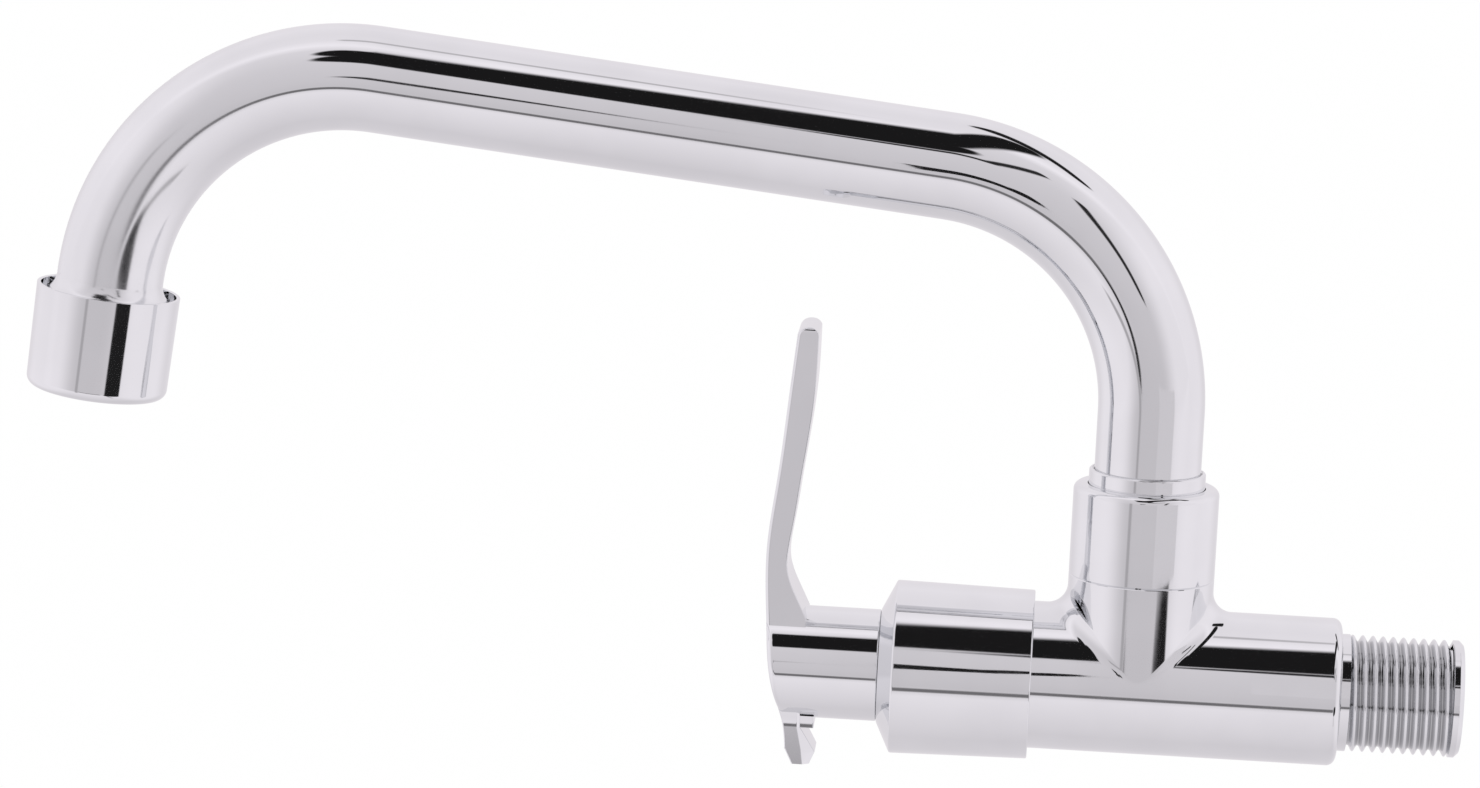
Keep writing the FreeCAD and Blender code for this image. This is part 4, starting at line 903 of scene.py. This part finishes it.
# ---------------------------------------------------------------- lever
# the lever's side outline, as in the solid: (distance behind its front plane in mm, height)
BLADE_FRONT = ((3.85, 0.969), (2.9, 0.762), (1.5, 0.464), (0.25, 0.22))
HUB_FRONT = ((0.7, 9.4), (1.7, 0.0), (3.2, -6.4))
TAIL_FRONT = ((4.5, 0.083), (5.05, 0.643))
BLADE_BACK = (
    (7.75, 0.977), (7.6, 0.79), (6.65, 0.595), (5.75, 0.457), (4.9, 0.319), (4.2, 0.222), (4.15, 0.155),
    (6.35, 0.044),
)
BLADE_ROOT = (8.0, 9.05)
TIP_MIDDLE = 6.3
TIP_CORNER = 0.9 * MM
ROOT_WIDER = 0.4 * MM  # each side at the hub, than at the blade's tip
TAIL_TAPER = 0.12 * MM
RIM_ROUND = 1.2 * MM  # the hub's rounded front rim
HUB_BORE, HUB_BORE_DEPTH = 8.0 * MM, 2.0 * MM  # the hub's open rear
PLAIN_FROM = 5.0 * MM  # behind the lever's front, where the plain hub starts
SUNK = 0.02 * MM  # blade's front behind the hub's, so that the faces never coincide
# stations of the tail in mm: (height, then behind the lever's front: front, side's end and back, then how
# far the back corner goes in); the front is None where it follows the lever's front line
TAIL_STATIONS = (
    (-4.0, None, 6.9, 7.5, 0.4), (-11.1, None, 7.1, 7.7, 0.4), (-15.1, 5.05, 8.0, 10.1, 1.2),
    (-15.8, 5.4, 8.1, 10.5, 1.4), (-17.9, 6.45, 8.4, 9.6, 0.9),
)


def smooth_line(points, count):
    """Points on a natural cubic spline through the given ones, spaced by chord length."""
    points = np.array(points, float)
    knots = np.concatenate([[0], np.cumsum(np.linalg.norm(np.diff(points, axis=0), axis=1))])
    n = len(points)
    system, right = np.zeros((n, n)), np.zeros((n, points.shape[1]))
    system[0, 0] = system[-1, -1] = 1.0
    for i in range(1, n - 1):
        a, b = knots[i] - knots[i - 1], knots[i + 1] - knots[i]
        system[i, i - 1:i + 2] = (a, 2 * (a + b), b)
        right[i] = 6 * ((points[i + 1] - points[i]) / b - (points[i] - points[i - 1]) / a)
    bend = np.linalg.solve(system, right)
    out = []
    for t in np.linspace(0, knots[-1], count):
        i = min(n - 2, int(np.searchsorted(knots, t, side="right")) - 1)
        h = knots[i + 1] - knots[i]
        a, b = (knots[i + 1] - t) / h, (t - knots[i]) / h
        out.append(a * points[i] + b * points[i + 1]
                   + ((a ** 3 - a) * bend[i] + (b ** 3 - b) * bend[i + 1]) * h * h / 6)
    return np.array(out)


def lever_outlines():
    """Front and back of the lever as (x, z) lines in metres."""
    s, p = sizes(), places()
    hub, above, below = s.hub_radius, s.lever_reach - s.hub_radius, s.lever_tail - s.hub_radius
    front_x = p["hub_front_x"]
    blade = lambda line: [(front_x + b * MM, hub + share * above) for b, share in line]
    front = blade(BLADE_FRONT) + [(front_x + b * MM, h * MM) for b, h in HUB_FRONT]
    front += [(front_x + b * MM, -hub - share * below) for b, share in TAIL_FRONT]
    back = blade(BLADE_BACK) + [(front_x + BLADE_ROOT[0] * MM, BLADE_ROOT[1] * MM)]
    return smooth_line(front, 400), smooth_line(back, 300)


def lever_half_width(z):
    """Half of the width of blade or tail seen from the front, at height z, without the tip's rounding."""
    s = sizes()
    tip, tail = s.blade_width / 2, s.tail_width / 2
    heights = (-s.lever_tail, -s.hub_radius, -s.hub_radius / 2, s.hub_radius, s.lever_reach)
    return float(np.interp(z, heights, (tail - TAIL_TAPER, tail, tip + ROOT_WIDER, tip + ROOT_WIDER, tip)))


def rounded_ring(corners, z, steps=6):
    """Points and in-plane normals of an outline at height z, from its (x, y, round) corners, +X to +Y."""
    flat = [np.array(corner[:2], float) for corner in corners]
    points, normals = [], []
    for i, (_, _, radius) in enumerate(corners):
        back, ahead = flat[i - 1] - flat[i], flat[(i + 1) % len(flat)] - flat[i]
        room = 0.45 * min(np.linalg.norm(back), np.linalg.norm(ahead))
        back, ahead = unit(back), unit(ahead)
        half = math.acos(max(-1.0, min(1.0, float(back @ ahead)))) / 2
        radius = min(radius, room * math.tan(half))
        middle = flat[i] + unit(back + ahead) * radius / math.sin(half)
        first, last = np.array((back[1], -back[0])), np.array((-ahead[1], ahead[0]))
        first, last = -first * np.sign(first @ (back + ahead)), -last * np.sign(last @ (back + ahead))
        for k in range(steps + 1):
            out = unit(first * (steps - k) + last * k)
            points.append(np.array((*(middle + radius * out), z)))
            normals.append(np.array((*out, 0.0)))
    return points + points[:1], normals + normals[:1]


def add_loft(skin, rings):
    """Adds a loft through rings of points, with normals square to both directions."""
    points = np.array([ring[0] for ring in rings])
    flat = np.array([ring[1] for ring in rings])
    along = np.gradient(points, axis=0)
    along /= np.maximum(np.linalg.norm(along, axis=2, keepdims=True), 1e-12)
    rise = along[:, :, 2:3]
    slide = np.sum(along[:, :, :2] * flat[:, :, :2], axis=2, keepdims=True)
    sign = np.sign(np.where(np.abs(rise) < 1e-9, 1.0, rise))
    normals = np.concatenate([flat[:, :, :2] * rise * sign, -slide * sign], axis=2)
    normals /= np.maximum(np.linalg.norm(normals, axis=2, keepdims=True), 1e-12)
    skin.grid(points, normals)


def add_hub_front(skin, front):
    """Adds the hub's front face along the lever's front line, and its rounded rim."""
    s, p = sizes(), places()
    full, line_z, line_x = s.hub_radius, front[::-1, 1], front[::-1, 0]
    reach = 0.3 * MM

    def slope_of(z):
        return (np.interp(z + reach, line_z, line_x) - np.interp(z - reach, line_z, line_x)) / (2 * reach)

    rows, row_normals = [], []
    for a in evenly(160) + [0.0]:
        out = np.array((0.0, math.sin(a), math.cos(a)))
        # the rim is rounded only beside blade and tail, which run on over it
        # the rim is sharp where blade or tail run into it, and rounded at the sides
        clear = (6.0, 7.6) if out[2] > 0 else (4.4, 6.4)
        share = min(1.0, max(0.0, (abs(full * out[1]) / MM - clear[0]) / (clear[1] - clear[0])))
        roll = (0.04 + 0.96 * share * share * (3 - 2 * share)) * RIM_ROUND
        middle_r = full - roll
        slope = slope_of(middle_r * out[2])
        lean = slope * out[2]
        stretch = math.sqrt(1 + lean * lean)
        middle_x = np.interp(middle_r * out[2], line_z, line_x) + roll * stretch
        face = unit((-1.0, 0.0, slope))
        edge_r = middle_r + roll * lean / stretch
        points, normals = [], []
        for share_r in (0.0, 0.2, 0.4, 0.6, 0.8, 1.0):
            z = edge_r * share_r * out[2]
            points.append(edge_r * share_r * out + np.array((np.interp(z, line_z, line_x), 0, 0)))
            normals.append(unit((-1.0, 0.0, slope_of(z))))
        start = math.atan2(-1.0, lean)
        for k in range(1, 9):
            turn = start * (1 - k / 8)
            x = middle_x + roll * math.sin(turn)
            points.append((middle_r + roll * math.cos(turn)) * out + np.array((x, 0, 0)))
            normals.append(unit(face * (1 - k / 8) + out * (k / 8)))
        points.append(full * out + np.array((p["hub_front_x"] + PLAIN_FROM, 0, 0)))
        normals.append(out)
        rows.append(points)
        row_normals.append(normals)
    skin.grid(rows, row_normals)


def build_lever():
    """Hub, blade and tail of the lever."""
    s, p = sizes(), places()
    front, back = lever_outlines()
    front_x = p["hub_front_x"]
    line = lambda z: np.interp(z, front[::-1, 1], front[::-1, 0])
    soft, small = s.edge_round, 0.25 * MM
    skin = Skin()
    add_hub_front(skin, front)
    rear_x = p["hub_rear_x"] + HUB_CLOSER
    add_turned(skin, along_x([
        (front_x + PLAIN_FROM, s.hub_radius), (rear_x, s.hub_radius, 0.3 * MM),
        (rear_x, HUB_BORE, SMALL_EDGE), (rear_x - HUB_BORE_DEPTH, HUB_BORE), (rear_x - HUB_BORE_DEPTH, 0),
    ]), inlet_axis(), evenly(160), 1.0)
    # blade, from inside the hub to its tip
    tip_front, tip_back = front[0], back[0]
    top = np.array((front_x + TIP_MIDDLE * MM, s.lever_reach))
    # circle through the three points of the tip's side view
    a, b, c = tip_front, top, tip_back
    system = np.array([b - a, c - b]) * 2
    middle = np.linalg.solve(system, np.array([b @ b - a @ a, c @ c - b @ b]))
    radius = np.linalg.norm(a - middle)
    start_round = s.lever_reach - TIP_CORNER
    heights = list(np.linspace(4.0 * MM, tip_front[1], 110))
    rise = s.lever_reach - tip_front[1]
    heights += [tip_front[1] + rise * math.sin(math.radians(d)) for d in range(6, 90, 6)]
    rings = []
    for z in heights:
        low_x, high_x = line(z) + SUNK, front_x + BLADE_ROOT[0] * MM
        if z > BLADE_ROOT[1] * MM:
            high_x = np.interp(z, back[::-1, 1], back[::-1, 0])
        if z > tip_front[1]:
            low_x = middle[0] - math.sqrt(max(0.0, radius ** 2 - (z - middle[1]) ** 2))
        if z > tip_back[1]:
            high_x = middle[0] + math.sqrt(max(0.0, radius ** 2 - (z - middle[1]) ** 2))
        half = lever_half_width(z)
        if z > start_round:
            half -= TIP_CORNER - math.sqrt(max(0.0, TIP_CORNER ** 2 - (z - start_round) ** 2))
        rings.append(rounded_ring(
            [(low_x, -half, soft), (high_x, -half, small), (high_x, half, small), (low_x, half, soft)], z))
    add_loft(skin, rings)
    skin.disc(rings[-1][0][:-1], (0, 0, 1))
    skin.disc(rings[0][0][:-1], (0, 0, -1))
    # tail, in facets
    for upper, lower in zip(TAIL_STATIONS, TAIL_STATIONS[1:]):
        rings = []
        for t in np.linspace(0, 1, 12):
            z, low, side, high, inwards = (
                None if a is None or b is None else (a + (b - a) * t) * MM for a, b in zip(upper, lower))
            low_x = line(z) + SUNK if low is None else front_x + low
            half = lever_half_width(z)
            side_x, high_x = front_x + side, front_x + high
            rings.append(rounded_ring([
                (low_x, -half, small), (side_x, -half, small), (high_x, inwards - half, small),
                (high_x, half - inwards, small), (side_x, half, small), (low_x, half, small)], z, 3))
        add_loft(skin, rings)
        if upper is TAIL_STATIONS[0]:
            skin.disc(rings[0][0][:-1], (0, 0, 1))
    skin.disc(rings[-1][0][:-1], (0, 0, -1))
    # small block behind the tail
    front_edge, back_edge = front_x + 6.8 * MM, front_x + 10.1 * MM
    block = []
    for z in np.linspace(-s.hub_radius + 1.0 * MM, -s.hub_radius - 1.2 * MM, 4):
        half = lever_half_width(z) - 0.6 * MM
        block.append(rounded_ring([
            (front_edge, -half, small), (back_edge, -half, small), (back_edge, half, small),
            (front_edge, half, small)], z, 3))
    add_loft(skin, block)
    skin.disc(block[-1][0][:-1], (0, 0, -1))
    skin.disc(block[0][0][:-1], (0, 0, 1))
    return skin.finish("lever_cast")


def build_plug():
    """Plain button in the lever's front, following its slight curve."""
    s, p = sizes(), places()
    front, _ = lever_outlines()
    skin = Skin()
    proud, edge = 0.06 * MM, 0.18 * MM
    flat = s.plug_radius - edge
    leans = [0.0] * 4 + [math.radians(a) for a in (30, 60, 90)]
    steps = [(r, 0.0) for r in (0.0, 1.2 * MM, 2.6 * MM, flat)]
    steps += [(flat + edge * math.sin(lean), edge * (1 - math.cos(lean))) for lean in leans[4:]]
    rows, normals = [], []
    for (r, back), lean in zip(steps, leans):
        row, row_normals = [], []
        for a in evenly(96) + [0.0]:
            y, z = r * math.sin(a), r * math.cos(a)
            x = np.interp(z, front[::-1, 1], front[::-1, 0])
            slope = (np.interp(z + 0.2 * MM, front[::-1, 1], front[::-1, 0]) - x) / (0.2 * MM)
            row.append(np.array((x - proud + back, y, z)))
            face = unit((-1.0, 0.0, slope))
            rim = np.array((0.0, math.sin(a), math.cos(a)))
            row_normals.append(unit(face * math.cos(lean) + rim * math.sin(lean)))
        rows.append(row)
        normals.append(row_normals)
    skin.grid(rows, normals)
    depth = p["hub_front_x"] + 4.5 * MM
    back_row = [np.array((depth, point[1], point[2])) for point in rows[-1]]
    skin.grid([rows[-1], back_row], [normals[-1], normals[-1]])
    skin.disc(back_row[:-1], (1, 0, 0))
    return skin.finish("index_plug_plated")


# ---------------------------------------------------------------- operators
class WALLTAP_OT_tee_body(bpy.types.Operator):
    """Builds the plated tee body"""

    bl_idname = "walltap.tee_body"
    bl_label = "Tee Body"

    def execute(self, context):
        ready(build_tee_body(), "tap_body", finish_named("bright_chrome"), "tee_body", slot="polished_chrome")
        return {"FINISHED"}


class WALLTAP_OT_inlet_thread(bpy.types.Operator):
    """Builds the ridge of the inlet thread"""

    bl_idname = "walltap.inlet_thread"
    bl_label = "Inlet Thread"

    def execute(self, context):
        ready(build_thread(), "tap_body", finish_named("threaded_chrome"), slot="polished_chrome")
        return {"FINISHED"}


class WALLTAP_OT_collar_nut(bpy.types.Operator):
    """Builds the collar nut on the branch"""

    bl_idname = "walltap.collar_nut"
    bl_label = "Collar Nut"

    def execute(self, context):
        nut = turned_piece("collar_nut", nut_profile(), branch_axis())
        ready(nut, "tap_body", finish_named("bright_chrome"), "spout_nut", slot="polished_chrome")
        return {"FINISHED"}


class WALLTAP_OT_spout(bpy.types.Operator):
    """Builds the bent tube and the socket that it stands in"""

    bl_idname = "walltap.spout"
    bl_label = "Spout"

    def execute(self, context):
        ready(build_pipe(), "spout", finish_named("tube_chrome"), "spout_pipe", slot="polished_chrome")
        bush = turned_piece("tail_socket", bush_profile(), branch_axis())
        ready(bush, "spout", finish_named("bright_chrome"), slot="polished_chrome")
        return {"FINISHED"}


class WALLTAP_OT_outlet(bpy.types.Operator):
    """Builds the tube's flared end and the aerator cup"""

    bl_idname = "walltap.outlet"
    bl_label = "Outlet"

    def execute(self, context):
        flare = turned_piece("outlet_flare", ferrule_profile(), outlet_axis())
        ready(flare, "spout", finish_named("tube_chrome"), "outlet_ferrule", slot="polished_chrome")
        cup = turned_piece("aerator_cup", cup_profile(), outlet_axis())
        ready(cup, "spout", finish_named("bright_chrome"), "aerator_housing", slot="polished_chrome")
        return {"FINISHED"}


class WALLTAP_OT_trim_cap(bpy.types.Operator):
    """Builds the trim cap over the headwork"""

    bl_idname = "walltap.trim_cap"
    bl_label = "Trim Cap"

    def execute(self, context):
        cap = turned_piece("trim_cap_plated", cap_profile(), inlet_axis(), 132)
        ready(cap, "tap_body", finish_named("bright_chrome"), "trim_cap", slot="polished_chrome")
        return {"FINISHED"}


class WALLTAP_OT_lever(bpy.types.Operator):
    """Builds the lever and the plain button in its front"""

    bl_idname = "walltap.lever"
    bl_label = "Lever"

    def execute(self, context):
        ready(build_lever(), "handle", finish_named("bright_chrome"), "lever_handle", slot="polished_chrome")
        ready(build_plug(), "handle", finish_named("bright_chrome"), "index_plug", slot="polished_chrome")
        return {"FINISHED"}


# finish of each CAD node that keeps its own mesh
INNER_FINISHES = {
    "seat_seal": "sealing_rubber",
    "fixed_ceramic_disc": "lapped_ceramic",
    "moving_ceramic_disc": "lapped_ceramic",
    "headwork_body": "turned_brass",
    "headwork_o_ring": "sealing_rubber",
    "cap_o_ring": "sealing_rubber",
    "handle_screw": "stainless_steel",
    "handle_screw_washer": "stainless_steel",
    "spindle": "turned_brass",
    "spindle_o_rings": "sealing_rubber",
    "spindle_clip": "stainless_steel",
    "spindle_slip_washer": "white_acetal",
    "spout_tail_bush": "bright_chrome",
    "spout_o_rings": "sealing_rubber",
    "spout_thrust_washer": "white_acetal",
    "spout_glide_ring": "white_acetal",
    "aerator_seal_washer": "sealing_rubber",
    "aerator_diffuser": "white_acetal",
    "aerator_screens": "stainless_steel",
    "aerator_insert": "grey_acetal",
}


class WALLTAP_OT_inner_pieces(bpy.types.Operator):
    """Gives the pieces inside the tap their finishes"""

    bl_idname = "walltap.inner_pieces"
    bl_label = "Inner Pieces"

    def execute(self, context):
        for node, finish in INNER_FINISHES.items():
            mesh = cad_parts[node].data
            material = finish_named(finish)
            if mesh.materials:
                for i in range(len(mesh.materials)):
                    mesh.materials[i] = material
            else:
                mesh.materials.append(material)
        return {"FINISHED"}


# ---------------------------------------------------------------- studio
CHROME_SHARE = 0.82  # how much of the light chrome gives back
STUDIO_TINT = (1.0, 0.958, 0.998)  # the surroundings are a touch warm and rosy, as white card is
SIDE_GREY = 232


def studio_tone(value):
    """Colour of a surrounding that chrome shows as this grey, 0 to 255."""
    c = value / 255
    light = c / 12.92 if c <= 0.04045 else ((c + 0.055) / 1.055) ** 2.4
    return (*(light / CHROME_SHARE * tint for tint in STUDIO_TINT), 1.0)


# greys round the tap from straight below the lens, up over it and round behind, in degrees: (turn, grey)
ROUND_GREYS = (
    (-180, 216), (-130, 208), (-95, 206), (-60, 216), (-26, 226), (-13, 194), (-2, 198), (36, 205),
    (66, 214), (78, 236), (92, 224), (110, 222), (140, 226), (180, 216),
)
# dark panels of the studio: (name, start (side, turn), end, half width, softness, grey)
STUDIO_PANELS = (
    ("main panel low", (-7, 45.0), (2, 45.5), 7.2, 1.2, 25),
    ("main panel high", (-7, 58.0), (1, 58.5), 7.8, 1.2, 25),
    ("main panel arm", (2, 57), (20, 95), 7.5, 1.5, 25),
    ("top bar", (12, 114), (37, 97), 4.0, 1.0, 28),
    ("thin curve", (3, 36), (9, 33), 1.7, 0.7, 40),
    ("thin curve arm", (9, 33), (24, 51), 1.7, 0.7, 40),
    ("short bar", (29, 8), (31, 40), 2.0, 0.8, 40),
    ("side strut", (26.5, -21), (36.5, -21), 7.6, 1.0, 30),
    ("strut foot", (24, -30), (27, -46), 2.0, 1.2, 160),
    ("knee line", (-7, -18.5), (-20, -15), 1.6, 0.7, 35),
    ("overhead line", (-8, 92), (2, 93), 2.0, 1.2, 178),
    ("floor line", (-7.7, -18), (12, -18), 2.4, 1.1, 108),
    ("lens line", (-6.4, 6.0), (-4.1, 8.4), 1.5, 0.7, 38),
    ("left edge", (-24, -26), (-24, 4), 2.2, 1.2, 165),
)


# cards before the tap that only reflections show: (name, y, outline as (x, z), grey), in mm
CARDS = (
    ("grey_reflector_card", -84, ((-13, 4), (58, -1.7), (58, 45), (-13, 45)), 203),
    ("black_strip_card", -300, ((-86.5, 47), (-54, 55), (-46, 64), (-41, 74), (-43, 86), (-50, 84), (-56, 77),
                                (-86.5, 86)), 28),
)


def panel_group():
    """Mask of a bar with round ends, from start to end, in degrees of side and turn."""
    group = bpy.data.node_groups.new("studio_panel", "ShaderNodeTree")
    for label in ("Place", "Start", "End"):
        group.interface.new_socket(label, in_out="INPUT", socket_type="NodeSocketVector")
    for label in ("Half Width", "Softness"):
        group.interface.new_socket(label, in_out="INPUT", socket_type="NodeSocketFloat")
    group.interface.new_socket("Mask", in_out="OUTPUT", socket_type="NodeSocketFloat")
    given, result = group.nodes.new("NodeGroupInput"), group.nodes.new("NodeGroupOutput")
    value = given.outputs

    bar = add_node(group, VECTOR_MATH, "SUBTRACT", i0=value["End"], i1=value["Start"])
    spot = add_node(group, VECTOR_MATH, "SUBTRACT", i0=value["Place"], i1=value["Start"])
    along = add_node(group, VECTOR_MATH, "DOT_PRODUCT", i0=spot, i1=bar).outputs["Value"]
    whole = add_node(group, VECTOR_MATH, "DOT_PRODUCT", i0=bar, i1=bar).outputs["Value"]
    share = add_node(group, "ShaderNodeClamp", Value=add_node(group, MATH, "DIVIDE", i0=along, i1=whole))
    nearest = add_node(group, VECTOR_MATH, "SCALE", i0=bar, Scale=share)
    away = add_node(group, VECTOR_MATH, "SUBTRACT", i0=spot, i1=nearest)
    off = add_node(group, VECTOR_MATH, "LENGTH", i0=away).outputs["Value"]
    outer = add_node(group, MATH, "ADD", i0=value["Half Width"], i1=value["Softness"])
    inner = add_node(group, MATH, "SUBTRACT", i0=value["Half Width"], i1=value["Softness"])
    mask = add_node(group, MAP_RANGE, SMOOTH, Value=off, From_Min=outer, From_Max=inner, **NOUGHT_TO_ONE)
    group.links.new(mask.outputs[0], result.inputs["Mask"])
    return group


def build_world():
    """Even light for matt things, white for the camera, and the studio's panels for reflections."""
    world = bpy.data.worlds.new("studio_surroundings")
    bpy.context.scene.world = world
    world.use_nodes = True
    world.cycles.sampling_method = "NONE"
    tree = world.node_tree
    tree.nodes.clear()
    facing = add_node(tree, "ShaderNodeTexCoord").outputs["Generated"]
    way = add_node(tree, APART, Vector=facing).outputs
    degree = 180 / math.pi
    side = add_node(tree, MATH, "MULTIPLY", i0=add_node(tree, MATH, "ARCSINE", i0=way["X"]), i1=degree)
    ahead = add_node(tree, MATH, "MULTIPLY", i0=way["Y"], i1=-1.0)
    arc = add_node(tree, MATH, "ARCTAN2", i0=way["Z"], i1=ahead)
    turn = add_node(tree, MATH, "MULTIPLY", i0=arc, i1=degree)
    place = add_node(tree, "ShaderNodeCombineXYZ", X=side, Y=turn)
    share = add_node(tree, MATH, "MULTIPLY_ADD", i0=turn, i1=1 / 360, i2=0.5)
    ramp = add_node(tree, "ShaderNodeValToRGB", Fac=share)
    stops = ramp.color_ramp.elements
    while len(stops) > 1:
        stops.remove(stops[-1])
    for k, (angle, grey) in enumerate(ROUND_GREYS):
        stop = stops[0] if k == 0 else stops.new(angle / 360 + 0.5)
        stop.position = angle / 360 + 0.5
        stop.color = studio_tone(grey)
    # towards both sides of the room everything fades to one grey
    sides = add_node(tree, MAP_RANGE, SMOOTH, Value=add_node(tree, MATH, "ABSOLUTE", i0=side),
                     From_Min=26.0, From_Max=60.0, To_Min=0.0, To_Max=0.85)
    shade = add_node(tree, MIX, COLOURS, i0=sides, i6=ramp, i7=studio_tone(SIDE_GREY)).outputs[2]
    group = panel_group()
    for name, start, end, half, soft, grey in STUDIO_PANELS:
        panel = add_node(tree, "ShaderNodeGroup", {"node_tree": group, "label": name}, Place=place,
                         Start=(*start, 0), End=(*end, 0), Half_Width=half, Softness=soft)
        shade = add_node(tree, MIX, COLOURS, i0=panel, i6=shade, i7=studio_tone(grey)).outputs[2]
    path = add_node(tree, "ShaderNodeLightPath").outputs
    reflected = add_node(tree, "ShaderNodeBackground", Color=shade, Strength=1.0)
    even = add_node(tree, "ShaderNodeBackground", Color=(1, 1, 1, 1), Strength=1.0)
    both = add_node(tree, "ShaderNodeMixShader", i0=path["Is Glossy Ray"], i1=even, i2=reflected)
    add_node(tree, "ShaderNodeOutputWorld", Surface=both)


def glow(name, light, only_reflected=False):
    """Plain studio paper that gives off an even light."""
    material = bpy.data.materials.new(name)
    material.use_nodes = True
    tree = material.node_tree
    tree.nodes.clear()
    shader = add_node(tree, "ShaderNodeEmission", Color=light, Strength=1.0)
    if not only_reflected:
        path = add_node(tree, "ShaderNodeLightPath").outputs
        seen = add_node(tree, MATH, "MAXIMUM", i0=path["Is Camera Ray"], i1=path["Is Transmission Ray"])
        spot = add_node(tree, "ShaderNodeTexCoord").outputs["Object"]
        grain = add_node(tree, NOISE, Vector=spot, Scale=noise_scale(40.0), Detail=2.0)
        dull = add_node(tree, MAP_RANGE, SMOOTH, Value=grain, **MOST_NOISE, To_Min=0.4, To_Max=0.6)
        matt = add_node(tree, "ShaderNodeBsdfDiffuse", Color=(0.9, 0.9, 0.9, 1), Roughness=dull)
        share = add_node(tree, MATH, "MULTIPLY", i0=seen, i1=0.9)
        shader = add_node(tree, "ShaderNodeMixShader", i0=share, i1=matt, i2=shader)
    add_node(tree, "ShaderNodeOutputMaterial", Surface=shader)
    return material


def flat_sheet(name, corners, material):
    """A flat sheet of the studio."""
    mesh = bpy.data.meshes.new(name)
    mesh.from_pydata(corners, [], [tuple(range(len(corners)))])
    mesh.materials.append(material)
    sheet = link(bpy.data.objects.new(name, mesh))
    sheet.visible_diffuse = sheet.visible_shadow = True
    return sheet


class WALLTAP_OT_studio(bpy.types.Operator):
    """Builds the floor, the reflector card, the surroundings and the camera"""

    bl_idname = "walltap.studio"
    bl_label = "Studio"

    def execute(self, context):
        view = context.scene.tap_studio
        build_world()
        z, far = -view.floor_height, 12.0
        floor = flat_sheet("studio_floor", [(-far, -far, z), (far, -far, z), (far, far, z), (-far, far, z)],
                           glow("white_studio_paper", (1.01, 1.01, 1.01, 1)))
        floor.visible_glossy = False
        for name, before, outline, tone in CARDS:
            corners = [(x * MM, before * MM, height * MM) for x, height in outline]
            card = flat_sheet(name, corners, glow(name, studio_tone(tone), True))
            card.visible_camera = card.visible_diffuse = False
            card.visible_shadow = card.visible_transmission = False
        a, e, r = view.azimuth, view.elevation, view.roll
        back = Vector((math.sin(a) * math.cos(e), -math.cos(a) * math.cos(e), math.sin(e)))
        right = Vector((math.cos(a), math.sin(a), 0.0))
        up = back.cross(right)
        across = math.cos(r) * right + math.sin(r) * up
        rising = -math.sin(r) * right + math.cos(r) * up
        lens = bpy.data.cameras.new("studio_camera")
        camera = link(bpy.data.objects.new("studio_camera", lens))
        turned = Matrix((across, rising, back)).transposed().to_4x4()
        camera.matrix_world = Matrix.Translation(Vector(view.middle) + back * view.distance) @ turned
        lens.sensor_width = 36.0
        lens.lens = lens.sensor_width * view.focal_pixels / view.picture_width
        lens.clip_start, lens.clip_end = 0.01, 100.0
        context.scene.camera = camera
        context.scene.view_settings.view_transform = "Standard"
        return {"FINISHED"}


class WALLTAP_PT_pieces(bpy.types.Panel):
    """Lists the tap's pieces and settings"""

    bl_idname = "WALLTAP_PT_pieces"
    bl_label = "Wall Tap"
    bl_space_type = "VIEW_3D"
    bl_region_type = "UI"
    bl_category = "Wall Tap"

    def draw(self, context):
        layout = self.layout
        for operator in PIECE_OPERATORS:
            layout.operator(operator.bl_idname)
        for group in (context.scene.tap_finishes, context.scene.tap_studio, context.scene.tap_sizes):
            box = layout.box()
            for key in type(group).__annotations__:
                box.prop(group, key)


PIECE_OPERATORS = (
    WALLTAP_OT_tee_body,
    WALLTAP_OT_inlet_thread,
    WALLTAP_OT_collar_nut,
    WALLTAP_OT_spout,
    WALLTAP_OT_outlet,
    WALLTAP_OT_trim_cap,
    WALLTAP_OT_lever,
    WALLTAP_OT_inner_pieces,
    WALLTAP_OT_studio,
)
CLASSES = (TapSizes, TapFinishes, TapStudio, *PIECE_OPERATORS, WALLTAP_PT_pieces)


def register():
    """Registers the classes and the scene's settings."""
    for item in CLASSES:
        bpy.utils.register_class(item)
    bpy.types.Scene.tap_sizes = bpy.props.PointerProperty(type=TapSizes)
    bpy.types.Scene.tap_finishes = bpy.props.PointerProperty(type=TapFinishes)
    bpy.types.Scene.tap_studio = bpy.props.PointerProperty(type=TapStudio)


def unregister():
    """Takes the settings and the classes away again."""
    del bpy.types.Scene.tap_studio
    del bpy.types.Scene.tap_finishes
    del bpy.types.Scene.tap_sizes
    for item in reversed(CLASSES):
        bpy.utils.unregister_class(item)


def main():
    """Builds the whole tap."""
    register()
    for operator in PIECE_OPERATORS:
        group, name = operator.bl_idname.split(".")
        getattr(getattr(bpy.ops, group), name)()


if __name__ == "__main__":
    main()
